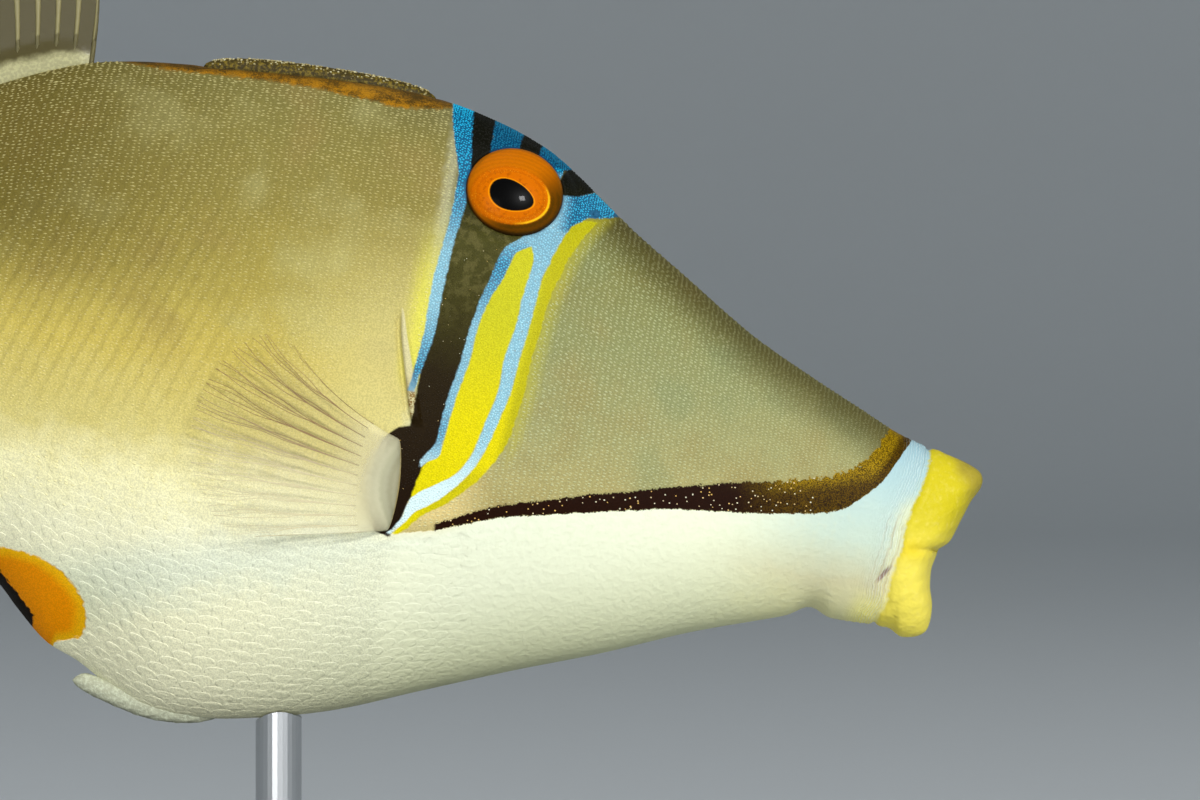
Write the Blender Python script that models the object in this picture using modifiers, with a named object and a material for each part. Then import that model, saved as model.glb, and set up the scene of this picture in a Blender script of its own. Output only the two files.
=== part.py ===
"""Arabian picassofish, life size, swimming nose down on a plain display stand.

Lengths are millimetres. In the fish's own frame s runs back from the mouth, y to the fish's
left and h up. The fish is built level there and then pitched nose down by its parent empty.
"""
import math

import bmesh
import bpy
from mathutils import Matrix, Vector

MM = 0.001
SHARP_EDGE = math.radians(40.0)

# Pose and stand
PITCH = math.radians(9.0)
NOSE_X = 122.9
GAP = 0.3
BASE_LENGTH = 150.0
BASE_WIDTH = 96.0
BASE_HEIGHT = 10.0
BASE_EDGE = 1.6
BASE_SIDES = 64
BELLY_CLEARANCE = 36.0
BELLY_RANGE = (60, 130)
ROD_RADIUS = 3.2
ROD_SIDES = 28
ROD_EXTRA = 21.6
ROD_SOCKET = 4.5
ROD_S = 88.0

# Body outline, as (s, h)
TOP = [
    (3.4, 13.4), (9, 15.0), (14.2, 17.3), (22, 20.8), (31, 25.2), (42.3, 32.3), (50, 37.2),
    (59.5, 44.0), (64, 46.6), (71, 49.1), (80, 51.0), (92, 51.5), (110, 50.6), (127, 48.6),
    (140, 43.6), (152, 36.6), (165, 28.0), (176, 20.5), (184, 15.6), (192, 12.6), (200, 12.2),
    (206, 13.0), (210.5, 13.5), (213, 12.6),
]
BOTTOM = [
    (7, -12.3), (14, -12.4), (17.4, -11.8), (21, -13.2), (33, -17.3), (45, -22.2), (57, -26.6),
    (69, -31.3), (81, -36.0), (93, -39.0), (101, -40.0), (107, -39.6), (112, -37.4),
    (117, -34.6), (121.8, -32.6), (126.9, -28.2), (129.1, -26.0), (134, -23.2), (150, -17.8),
    (165, -12.6), (176, -8.8), (184, -6.4), (192, -5.2), (200, -5.2), (206, -6.0),
    (210.5, -6.7), (213, -6.0),
]
HALF_WIDTH = [
    (4, 8.1), (8, 8.2), (14, 8.8), (22, 9.9), (34, 12.0), (48, 14.4), (60, 16.2), (72, 17.8),
    (84, 19.0), (96, 19.0), (110, 17.8), (127, 15.2), (145, 11.6), (160, 8.8), (176, 6.4),
    (188, 5.2), (198, 4.5), (206, 3.6), (210.5, 2.4), (213, 1.2),
]
WIDEST_LEVEL = [
    (4, 0.5), (14, 1.0), (34, 0.0), (48, 0.0), (60, 1.0), (72, 2.0), (84, 3.0), (100, 5.0),
    (127, 8.0), (150, 8.5), (170, 6.0), (188, 4.0), (208, 3.4),
]
# Section powers: 0.5 is an ellipse, less is blunt and more is keeled
BACK_POWER = [
    (4, 0.5), (20, 0.55), (40, 0.52), (54, 0.42), (66, 0.33), (78, 0.42), (92, 0.5),
    (110, 0.55), (130, 0.6), (208, 0.55),
]
BELLY_POWER = [
    (4, 0.5), (20, 0.55), (50, 0.6), (80, 0.62), (100, 0.66), (114, 0.85), (124, 0.85),
    (134, 0.66), (208, 0.55),
]
STATION_STEP = 4.6
BODY_FRONT = 2.0
BODY_END = 213.0
RING_POINTS = 36

# Cuts between the body's parts, each a line in s and h
LIP_CUT = ((3.4, 13.4), (6.9, -12.3))
GILL_CUT = ((77.5, 50.0), (69.5, -33.0))
TAIL_CUT = ((163.0, 40.0), (163.0, -30.0))

# Lips, front outline as (h, s)
UPPER_LIP = [
    (-0.5, 1.2), (1.1, -0.4), (4.1, -1.5), (7.0, -2.5), (9.3, -3.6), (11.1, -3.2), (12.2, -1.2),
    (12.9, 1.0), (13.3, 2.6),
]
LOWER_LIP = [
    (-13.6, 4.4), (-13.4, 2.6), (-12.4, 1.2), (-11.0, 0.6), (-8.2, 0.6), (-5.6, 1.3),
    (-2.8, 1.5), (-1.0, 1.1),
]
LIP_HALF_WIDTH = 8.2
LIP_HALF_HEIGHT = 13.75
LIP_BLUNTNESS = 0.8
LIP_LEVELS = 9
LIP_POINTS = 14

# Eyes and nostrils
EYE_S = 66.7
EYE_H = 39.5
EYE_LENGTH = 13.2
EYE_DEPTH = 12.2
EYE_BULGE = 2.9
EYE_BACK = 5.0
EYE_SINK = 0.9
EYE_TILT = math.radians(21.0)
EYE_FORWARD = math.radians(6.0)
NOSTRILS = ((55.4, 38.0), (53.2, 36.4))
NOSTRIL_RADIUS = 0.6

# Gill opening, as (s, h) down the flank
GILL_SLIT = [(79.4, 21.0), (78.9, 17.5), (77.9, 13.5), (76.8, 9.6), (75.7, 6.2)]
GILL_GROOVE = 0.6

# Folded first dorsal spine, as (s, rise over the back, half thickness)
FIRST_DORSAL = [
    (79.5, 0.1, 0.6), (82.5, 0.7, 1.3), (87, 1.0, 1.4), (95, 1.2, 1.3), (103.5, 1.3, 1.1),
    (108.5, 1.1, 0.9), (112.7, 0.5, 0.5),
]
FIRST_DORSAL_ROOT = 1.7

# Pelvic spine along the keel, as (s, h, radius)
PELVIC_SPINE = [
    (96, -38.6, 0.8), (99.5, -39.3, 1.2), (103, -39.6, 1.3), (106.5, -39.5, 1.3),
    (110, -38.9, 1.2), (113.5, -38.1, 1.1), (115.8, -37.5, 0.9), (117.2, -37.3, 0.5),
]

# Fins
RAY_TIP = 0.8
RAY_SHARE = 0.42
WEB = 0.5
SCALLOP = 0.025
ROOT_DEPTH = 1.8
FIN_CURL = 0.12
SECOND_DORSAL_RAYS = 24
SECOND_DORSAL_BASE = (128.0, 183.5)
SECOND_DORSAL_LENGTH = [
    (0.0, 18.5), (0.04, 23.0), (0.1, 26.0), (0.2, 27.0), (0.5, 22.5), (0.8, 17.0), (0.93, 13.5),
    (1.0, 9.5),
]
SECOND_DORSAL_LEAN = [(0.0, 1.0), (0.3, 14.0), (1.0, 50.0)]
SECOND_DORSAL_WAVE = (2.2, 1.1, 0.1)
ANAL_RAYS = 22
ANAL_BASE = (134.0, 183.0)
ANAL_LENGTH = [
    (0.0, 14.0), (0.05, 18.5), (0.12, 21.5), (0.22, 22.5), (0.5, 19.5), (0.8, 15.0),
    (0.93, 12.0), (1.0, 8.5),
]
ANAL_LEAN = [(0.0, 12.0), (0.3, 22.0), (1.0, 52.0)]
ANAL_WAVE = (2.0, 1.1, 0.35)
CAUDAL_RAYS = 12
CAUDAL_ROOT_S = 208.0
CAUDAL_ROOT_HEIGHT = (10.8, -4.2)
CAUDAL_SPREAD = math.radians(20.0)
CAUDAL_LENGTH = [
    (0.0, 41.5), (0.05, 44.5), (0.2, 45.0), (0.5, 45.5), (0.8, 45.0), (0.95, 44.5), (1.0, 41.5),
]
CAUDAL_SWAY = 4.0
PECTORAL_RAYS = 13
PECTORAL_ROOT = ((76.7, 3.2), (76.4, -9.3))
PECTORAL_ROOT_BOW = 0.8
PECTORAL_CENTRE = (79.4, -2.4)
PECTORAL_ANGLE = [(0.0, 50.0), (0.25, 27.0), (0.6, 0.0), (1.0, -36.0)]
PECTORAL_LENGTH = [
    (0.0, 21.0), (0.06, 24.4), (0.15, 25.6), (0.3, 26.2), (0.6, 25.4), (0.85, 22.4), (0.95, 20.4),
    (1.0, 17.5),
]
PECTORAL_BOW = 1.3
PECTORAL_LOBE = 3.2
PECTORAL_DECAY = 2.2
PECTORAL_SINK = 1.1
PECTORAL_STANDOFF = 1.8
# Each fin's build, as (rows, thickness of a ray's root, of the fleshy band, share of the band)
SECOND_DORSAL_VANE = (6, 1.4, 2.0, 0.2)
ANAL_VANE = (5, 1.4, 2.0, 0.22)
CAUDAL_VANE = (7, 2.0, 2.0, 0.24)
PECTORAL_VANE = (8, 1.2, 2.6, 0.24)

# Spine rows on the tail, as (first s, last s, count, share of the depth from below)
SPINE_ROWS = [(171.0, 203.5, 10, 0.73), (166.0, 204.5, 13, 0.5), (171.0, 203.5, 10, 0.27)]
SPINE_LENGTH = 2.4
SPINE_RADIUS = 0.62
SPINE_SIDES = 6
SPINE_SINK = 0.7
SPINE_FORWARD = math.radians(42.0)


def clear_scene():
    """Remove the objects that are there before the fish."""
    for item in list(bpy.data.objects):
        bpy.data.objects.remove(item, do_unlink=True)


def new_collection(name):
    """A collection linked into the scene."""
    group = bpy.data.collections.new(name)
    bpy.context.scene.collection.children.link(group)
    return group


def new_material(name, colour, roughness):
    """A plain Principled material."""
    material = bpy.data.materials.new(name)
    material.use_nodes = True
    shader = material.node_tree.nodes["Principled BSDF"]
    shader.inputs["Base Color"].default_value = (*colour, 1.0)
    shader.inputs["Roughness"].default_value = roughness
    material.diffuse_color = (*colour, 1.0)
    return material


def at(s, y, h):
    """A point of the fish's frame, in metres."""
    return Vector((-s, y, h)) * MM


def along(table, x):
    """A smooth curve through the table's points, carried on straight past its ends."""
    slopes = []
    for i in range(len(table)):
        before = table[max(i - 1, 0)]
        after = table[min(i + 1, len(table) - 1)]
        slopes.append((after[1] - before[1]) / (after[0] - before[0]))
    if x <= table[0][0]:
        return table[0][1] + slopes[0] * (x - table[0][0])
    if x >= table[-1][0]:
        return table[-1][1] + slopes[-1] * (x - table[-1][0])
    i = max(k for k in range(len(table) - 1) if table[k][0] <= x)
    width = table[i + 1][0] - table[i][0]
    t = (x - table[i][0]) / width
    start = (1 + 2 * t) * (1 - t) ** 2 * table[i][1] + t * (1 - t) ** 2 * width * slopes[i]
    end = t * t * (3 - 2 * t) * table[i + 1][1] - t * t * (1 - t) * width * slopes[i + 1]
    return start + end


def body_side(s, h):
    """Half the body's thickness at a place on its flank."""
    middle = along(WIDEST_LEVEL, s)
    if h >= middle:
        reach = along(TOP, s) - middle
        power = along(BACK_POWER, s)
    else:
        reach = middle - along(BOTTOM, s)
        power = along(BELLY_POWER, s)
    level = min(abs(h - middle) / reach, 1.0)
    return along(HALF_WIDTH, s) * math.sqrt(1.0 - level * level) ** (2.0 * power)


def body_ring(s, grow):
    """One closed section across the body, grown outwards by a clearance."""
    middle = along(WIDEST_LEVEL, s)
    rise = along(TOP, s) + grow - middle
    drop = middle - along(BOTTOM, s) + grow
    half = along(HALF_WIDTH, s) + grow
    ring = []
    for i in range(RING_POINTS):
        turn = 2.0 * math.pi * i / RING_POINTS
        level = math.cos(turn)
        side = math.sin(turn)
        power = along(BACK_POWER, s) if level >= 0 else along(BELLY_POWER, s)
        reach = rise if level >= 0 else drop
        width = math.copysign(half * abs(side) ** (2.0 * power), side)
        ring.append(at(s, width, middle + reach * level))
    return ring


def link(name, mesh, group, parent, material):
    """An object for a finished bmesh, shaded smooth."""
    data = bpy.data.meshes.new(name)
    mesh.to_mesh(data)
    mesh.free()
    data.shade_smooth()
    item = bpy.data.objects.new(name, data)
    item.parent = parent
    group.objects.link(item)
    if material:
        data.materials.append(material)
        data.set_sharp_from_angle(angle=SHARP_EDGE)
    else:
        item.hide_render = True
        item.display_type = "WIRE"
    return item


def loft(rings):
    """A closed mesh over rings of like count, with flat ends."""
    mesh = bmesh.new()
    rows = [[mesh.verts.new(point) for point in ring] for ring in rings]
    for near, far in zip(rows, rows[1:]):
        for i in range(len(near)):
            j = (i + 1) % len(near)
            mesh.faces.new((near[i], near[j], far[j], far[i]))
    mesh.faces.new(rows[0][::-1])
    mesh.faces.new(rows[-1])
    bmesh.ops.recalc_face_normals(mesh, faces=mesh.faces[:])
    return mesh


def body_loft(grow=0.0):
    """The whole body from snout to tail root, as one mesh."""
    front = BODY_FRONT
    end = BODY_END + grow
    count = round((end - front) / STATION_STEP)
    rings = [body_ring(front + (end - front) * i / count, grow) for i in range(count + 1)]
    return loft(rings)


def tube(path, sides=10):
    """A closed round bar along (point, half thickness, half height) stops."""
    rings = []
    for i, (centre, half_y, half_up) in enumerate(path):
        run = path[min(i + 1, len(path) - 1)][0] - path[max(i - 1, 0)][0]
        up = run.cross(Vector((0, 1, 0))).normalized()
        across = up.cross(run).normalized()
        ring = []
        for k in range(sides):
            turn = 2.0 * math.pi * k / sides
            offset = across * (half_y * math.cos(turn)) + up * (half_up * math.sin(turn))
            ring.append(centre + offset * MM)
        rings.append(ring)
    return loft(rings)


def fin_thickness(crest, v, root, flesh, flesh_end):
    """Thickness at a share v of a fin's length: ray or web, and a fleshy band at the root."""
    bar = RAY_TIP + (root - RAY_TIP) * (1.0 - v) if crest else WEB
    soft = flesh * (1.0 - (v / flesh_end) ** 2) if v < flesh_end else 0.0
    return max(bar, soft)


def ray_columns(rays):
    """Places across a fin of each ray's crest and of its feet, as (share, is a crest)."""
    foot = RAY_SHARE / 2.0
    places = [(0, True), (foot, False)]
    for ray in range(1, rays - 1):
        places += [(ray - foot, False), (ray, True), (ray + foot, False)]
    places += [(rays - 1 - foot, False), (rays - 1, True)]
    return [(place / (rays - 1), crest) for place, crest in places]


def vane(point, rays, rows, root, flesh, flesh_end):
    """A closed thin fin about a mid surface, its rays raised as ridges on both faces.

    Both faces are split into triangles alike, so that they keep clear of each other.
    """
    places = ray_columns(rays)
    columns = len(places) - 1
    grid = []
    for share, crest in places:
        reach = (1.0 if crest else 1.0 - SCALLOP) / rows
        grid.append([point(share, j * reach) for j in range(rows + 1)])
    mesh = bmesh.new()
    faces = ([], [])
    for i in range(columns + 1):
        for side in faces:
            side.append([])
        for j in range(rows + 1):
            across = grid[min(i + 1, columns)][j] - grid[max(i - 1, 0)][j]
            out = grid[i][min(j + 1, rows)] - grid[i][max(j - 1, 0)]
            thick = fin_thickness(places[i][1], j / rows, root, flesh, flesh_end)
            half = across.cross(out).normalized() * (thick * MM / 2.0)
            faces[0][i].append(mesh.verts.new(grid[i][j] + half))
            faces[1][i].append(mesh.verts.new(grid[i][j] - half))
    for side in faces:
        for i in range(columns):
            for j in range(rows):
                a, b = side[i][j], side[i + 1][j]
                c, d = side[i + 1][j + 1], side[i][j + 1]
                mesh.faces.new((a, b, c))
                mesh.faces.new((a, c, d))
    rim = [(i, 0) for i in range(columns)]
    rim += [(columns, j) for j in range(rows)]
    rim += [(i, rows) for i in range(columns, 0, -1)]
    rim += [(0, j) for j in range(rows, 0, -1)]
    for (i, j), (k, m) in zip(rim, rim[1:] + rim[:1]):
        mesh.faces.new((faces[0][i][j], faces[0][k][m], faces[1][k][m], faces[1][i][j]))
    bmesh.ops.recalc_face_normals(mesh, faces=mesh.faces[:])
    return mesh


def cut_plane(mesh, line, keep_front):
    """Cut a mesh along a sloping line of the side view, half a gap short of it, and close it."""
    upper = at(line[0][0], 0.0, line[0][1])
    lower = at(line[1][0], 0.0, line[1][1])
    forward = (upper - lower).cross(Vector((0, 1, 0))).normalized()
    if forward.x < 0:
        forward = -forward
    away = -forward if keep_front else forward
    cut = bmesh.ops.bisect_plane(
        mesh,
        geom=mesh.verts[:] + mesh.edges[:] + mesh.faces[:],
        dist=1e-7,
        plane_co=upper - away * (GAP / 2.0) * MM,
        plane_no=away,
        clear_outer=True,
    )
    edges = [item for item in cut["geom_cut"] if isinstance(item, bmesh.types.BMEdge)]
    bmesh.ops.edgeloop_fill(mesh, edges=edges)
    bmesh.ops.recalc_face_normals(mesh, faces=mesh.faces[:])


def join_with(item, others, operation, solver="EXACT"):
    """Add a Boolean with a collection or one object."""
    boolean = item.modifiers.new(operation.lower(), "BOOLEAN")
    boolean.operation = operation
    boolean.solver = solver
    if isinstance(others, bpy.types.Collection):
        boolean.operand_type = "COLLECTION"
        boolean.collection = others
    else:
        boolean.object = others
    return boolean


def settle(item):
    """Apply an object's modifiers and keep its largest closed surface."""
    depsgraph = bpy.context.evaluated_depsgraph_get()
    done = bpy.data.meshes.new_from_object(item.evaluated_get(depsgraph), depsgraph=depsgraph)
    item.modifiers.clear()
    mesh = bmesh.new()
    mesh.from_mesh(done)
    left = set(mesh.faces)
    shells = []
    while left:
        shell = {left.pop()}
        front = list(shell)
        while front:
            face = front.pop()
            for edge in face.edges:
                for other in edge.link_faces:
                    if other in left:
                        left.remove(other)
                        shell.add(other)
                        front.append(other)
        shells.append(shell)
    shells.sort(key=lambda shell: sum(face.calc_area() for face in shell))
    scraps = [face for shell in shells[:-1] for face in shell]
    bmesh.ops.delete(mesh, geom=scraps, context="FACES")
    mesh.to_mesh(done)
    mesh.free()
    done.shade_smooth()
    done.set_sharp_from_angle(angle=SHARP_EDGE)
    item.data = done


def eye_matrix(side):
    """Place and turn of an eye, its own Z looking out of the head."""
    out = Vector((math.sin(EYE_FORWARD), side * math.cos(EYE_FORWARD), 0.0)) * math.cos(EYE_TILT)
    out.z = math.sin(EYE_TILT)
    fore = Vector((1, 0, 0))
    fore = (fore - out * fore.dot(out)).normalized()
    up = out.cross(fore)
    turn = Matrix((fore, up, out)).transposed().to_4x4()
    centre = at(EYE_S, side * body_side(EYE_S, EYE_H), EYE_H) - out * EYE_SINK * MM
    return Matrix.Translation(centre) @ turn


def eye_ball(side, grow=0.0):
    """An eyeball, shallow in front and deeper behind."""
    mesh = bmesh.new()
    bmesh.ops.create_uvsphere(mesh, u_segments=24, v_segments=12, radius=1.0)
    for vert in mesh.verts:
        depth = EYE_BULGE if vert.co.z > 0 else EYE_BACK
        vert.co.x *= (EYE_LENGTH / 2.0 + grow) * MM
        vert.co.y *= (EYE_DEPTH / 2.0 + grow) * MM
        vert.co.z *= (depth + grow) * MM
    mesh.transform(eye_matrix(side))
    if side < 0:
        bmesh.ops.recalc_face_normals(mesh, faces=mesh.faces[:])
    return mesh


def nostril(side, s, h):
    """A round pit in front of the eye."""
    mesh = bmesh.new()
    bmesh.ops.create_uvsphere(mesh, u_segments=8, v_segments=6, radius=NOSTRIL_RADIUS * MM)
    mesh.transform(Matrix.Translation(at(s, side * body_side(s, h), h)))
    return mesh


def gill_groove(side):
    """The slit of the gill opening, sunk half into the flank."""
    path = [(at(s, side * body_side(s, h), h), GILL_GROOVE, GILL_GROOVE) for s, h in GILL_SLIT]
    return tube(path, sides=6)


def first_dorsal(grow=0.0):
    """The folded first dorsal spine, half sunk in its groove."""
    path = []
    for s, rise, half in FIRST_DORSAL:
        top = along(TOP, s) + rise
        bottom = along(TOP, s) - FIRST_DORSAL_ROOT
        centre = at(s, 0.0, (top + bottom) / 2.0)
        path.append((centre, half + grow, (top - bottom) / 2.0 + grow))
    path[0] = (path[0][0] + at(-grow, 0, 0), path[0][1], path[0][2])
    path[-1] = (path[-1][0] + at(grow, 0, 0), path[-1][1], path[-1][2])
    return tube(path)


def pelvic_spine(grow=0.0):
    """The blunt pelvic spine that lies along the end of the keel."""
    path = [(at(s, 0.0, h), radius + grow, radius + grow) for s, h, radius in PELVIC_SPINE]
    path[0] = (path[0][0] + at(-grow, 0, 0), path[0][1], path[0][2])
    path[-1] = (path[-1][0] + at(grow, 0, 0), path[-1][1], path[-1][2])
    return tube(path)


def lip(outline, top_h, bottom_h):
    """One fleshy lip, as level sections from the lip cut out to its front."""
    rings = []
    (top_s, high), (bottom_s, low) = LIP_CUT
    for k in range(LIP_LEVELS):
        share = 0.5 - 0.5 * math.cos(math.pi * k / (LIP_LEVELS - 1))
        h = bottom_h + (top_h - bottom_h) * share
        back = top_s + (bottom_s - top_s) * (high - h) / (high - low) - GAP / 2.0
        front = along(outline, h)
        half = LIP_HALF_WIDTH * math.sqrt(1.0 - (h / LIP_HALF_HEIGHT) ** 2)
        ring = []
        for i in range(LIP_POINTS + 1):
            turn = math.pi * (i / LIP_POINTS - 0.5)
            reach = (back - front) * math.cos(turn) ** LIP_BLUNTNESS
            ring.append(at(back - reach, half * math.sin(turn), h))
        rings.append(ring)
    return loft(rings)


def median_fin(profile, base, length, lean, up, wave):
    """Mid surface of a dorsal or anal fin; wave is its sway, waves along the base and phase."""
    sway, waves, phase = wave

    def point(u, v):
        s = base[0] + (base[1] - base[0]) * u
        reach = ROOT_DEPTH + along(length, u)
        tilt = math.radians(along(lean, u)) + FIN_CURL * v * v
        out = reach * v
        root = along(profile, s) - up * ROOT_DEPTH
        aside = sway * v ** 1.5 * math.sin(2.0 * math.pi * (waves * u + phase))
        return at(s + out * math.sin(tilt), aside, root + up * out * math.cos(tilt))
    return point


def caudal_point(u, v):
    """Mid surface of the tail fin, fanned and swept a little to one side."""
    angle = CAUDAL_SPREAD * (1.0 - 2.0 * u)
    high, low = CAUDAL_ROOT_HEIGHT
    out = along(CAUDAL_LENGTH, u) * v
    h = high + (low - high) * u + out * math.sin(angle)
    return at(CAUDAL_ROOT_S + out * math.cos(angle), CAUDAL_SWAY * v * v, h)


def pectoral_surface(side):
    """Mid surface of a pectoral fin that leaves the flank on a short fleshy lobe."""
    def point(u, v):
        (top_s, top_h), (bottom_s, bottom_h) = PECTORAL_ROOT
        root_s = top_s + (bottom_s - top_s) * u - PECTORAL_ROOT_BOW * math.sin(math.pi * u)
        root_h = top_h + (bottom_h - top_h) * u
        angle = math.radians(along(PECTORAL_ANGLE, u))
        reach = along(PECTORAL_LENGTH, u)
        tip_s = PECTORAL_CENTRE[0] + reach * math.cos(angle)
        tip_h = PECTORAL_CENTRE[1] + reach * math.sin(angle)
        bow = PECTORAL_BOW * (1.0 - u) ** 2 * 4.0 * v * (1.0 - v)
        s = root_s + (tip_s - root_s) * v + bow * math.sin(angle)
        h = root_h + (tip_h - root_h) * v - bow * math.cos(angle)
        lift = PECTORAL_LOBE * (1.0 - math.exp(-v * reach / PECTORAL_DECAY))
        lift += PECTORAL_STANDOFF * v - PECTORAL_SINK
        return at(s, side * (body_side(root_s, root_h) + lift), h)
    return point


def spine_cone(side, s, h):
    """One short spine on the tail, leaning forwards, its root sunk."""
    flank = body_side(s, h)
    slope = (body_side(s, h + 1.0) - body_side(s, h - 1.0)) / 2.0
    out = Vector((0.0, side, -slope)).normalized()
    aim = out * math.cos(SPINE_FORWARD) + Vector((1, 0, 0)) * math.sin(SPINE_FORWARD)
    turn = aim.to_track_quat("Z", "Y").to_matrix().to_4x4()
    middle = at(s, side * flank, h) + aim * (SPINE_LENGTH / 2.0 - SPINE_SINK) * MM
    mesh = bmesh.new()
    bmesh.ops.create_cone(
        mesh,
        cap_ends=True,
        segments=SPINE_SIDES,
        radius1=SPINE_RADIUS * MM,
        radius2=0.0,
        depth=SPINE_LENGTH * MM,
        matrix=Matrix.Translation(middle) @ turn,
    )
    return mesh


def build_body(group, cutters, pose, head_skin, trunk_skin):
    """Head, trunk and tail from one loft, parted by thin cuts."""
    mesh = body_loft()
    cut_plane(mesh, LIP_CUT, keep_front=False)
    cut_plane(mesh, GILL_CUT, keep_front=True)
    head = link("head", mesh, group, pose, head_skin)
    for side, name in ((1, "left"), (-1, "right")):
        socket = link("socket_" + name, eye_ball(side, GAP), cutters, pose, None)
        join_with(head, socket, "DIFFERENCE")
        for number, (s, h) in enumerate(NOSTRILS):
            pit = link(f"nostril_{name}_{number}", nostril(side, s, h), cutters, pose, None)
            join_with(head, pit, "DIFFERENCE")
    settle(head)

    mesh = body_loft()
    cut_plane(mesh, GILL_CUT, keep_front=False)
    cut_plane(mesh, TAIL_CUT, keep_front=True)
    trunk = link("trunk", mesh, group, pose, trunk_skin)
    grooves = [
        link("gill_left", gill_groove(1), cutters, pose, None),
        link("gill_right", gill_groove(-1), cutters, pose, None),
        link("dorsal_groove", first_dorsal(GAP), cutters, pose, None),
        link("pelvic_groove", pelvic_spine(GAP), cutters, pose, None),
    ]
    for groove in grooves:
        join_with(trunk, groove, "DIFFERENCE")
    settle(trunk)


def build_tail(group, cutters, pose, skin):
    """The tail with its rows of spines fused on both sides."""
    mesh = body_loft()
    cut_plane(mesh, TAIL_CUT, keep_front=False)
    tail = link("tail", mesh, group, pose, skin)
    spines = new_collection("tail_spines")
    for first, last, count, share in SPINE_ROWS:
        for number in range(count):
            s = first + (last - first) * number / (count - 1)
            low = along(BOTTOM, s)
            h = low + (along(TOP, s) - low) * share
            for side in (1, -1):
                link("tail_spine", spine_cone(side, s, h), spines, pose, None)
    join_with(tail, spines, "UNION", "MANIFOLD")
    settle(tail)
    for spine in list(spines.objects):
        bpy.data.objects.remove(spine, do_unlink=True)
    bpy.data.collections.remove(spines)


def build_fins(group, pose, membrane, clearance):
    """The second dorsal, anal, tail and pectoral fins, their roots cut to the flank."""
    back = median_fin(
        TOP, SECOND_DORSAL_BASE, SECOND_DORSAL_LENGTH, SECOND_DORSAL_LEAN, 1.0, SECOND_DORSAL_WAVE)
    vent = median_fin(BOTTOM, ANAL_BASE, ANAL_LENGTH, ANAL_LEAN, -1.0, ANAL_WAVE)
    fins = [
        ("second_dorsal_fin", vane(back, SECOND_DORSAL_RAYS, *SECOND_DORSAL_VANE)),
        ("anal_fin", vane(vent, ANAL_RAYS, *ANAL_VANE)),
        ("caudal_fin", vane(caudal_point, CAUDAL_RAYS, *CAUDAL_VANE)),
    ]
    for side, name in ((1, "left"), (-1, "right")):
        mesh = vane(pectoral_surface(side), PECTORAL_RAYS, *PECTORAL_VANE)
        fins.append(("pectoral_fin_" + name, mesh))
    for name, mesh in fins:
        fin = link(name, mesh, group, pose, membrane)
        join_with(fin, clearance, "DIFFERENCE")
        settle(fin)


def build_stand(group, cutters, clearance):
    """A flat oval base with one rod up to the belly."""
    steel = new_material("stand_rod_metal", (0.62, 0.63, 0.64), 0.3)
    acrylic = new_material("stand_base_black", (0.03, 0.03, 0.035), 0.45)
    rod_x = NOSE_X - ROD_S * math.cos(PITCH) + along(BOTTOM, ROD_S) * math.sin(PITCH)

    mesh = bmesh.new()
    bmesh.ops.create_cone(
        mesh, cap_ends=True, segments=BASE_SIDES, radius1=0.5, radius2=0.5, depth=1.0)
    size = Vector((BASE_LENGTH, BASE_WIDTH, BASE_HEIGHT)) * MM
    bmesh.ops.scale(mesh, vec=size, verts=mesh.verts[:])
    bmesh.ops.translate(mesh, vec=Vector((0, 0, BASE_HEIGHT / 2.0)) * MM, verts=mesh.verts[:])
    base = link("stand_base", mesh, group, None, acrylic)
    base.location = Vector((rod_x, 0, 0)) * MM
    edge = base.modifiers.new("edge", "BEVEL")
    edge.width = BASE_EDGE * MM
    edge.segments = 2
    edge.limit_method = "ANGLE"
    edge.angle_limit = math.radians(50.0)

    def upright(radius, bottom, top):
        bar = bmesh.new()
        bmesh.ops.create_cone(
            bar, cap_ends=True, segments=ROD_SIDES, radius1=radius * MM, radius2=radius * MM,
            depth=(top - bottom) * MM)
        lift = Vector((rod_x, 0, (top + bottom) / 2.0)) * MM
        bmesh.ops.translate(bar, vec=lift, verts=bar.verts[:])
        return bar

    floor = BASE_HEIGHT - ROD_SOCKET
    hole = link(
        "rod_hole", upright(ROD_RADIUS + GAP, floor - GAP, BASE_HEIGHT * 2), cutters, None, None)
    join_with(base, hole, "DIFFERENCE")
    reach = BASE_HEIGHT + BELLY_CLEARANCE + ROD_EXTRA
    rod = link("stand_rod", upright(ROD_RADIUS, floor, reach), group, None, steel)
    join_with(rod, clearance, "DIFFERENCE")
    settle(rod)


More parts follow.
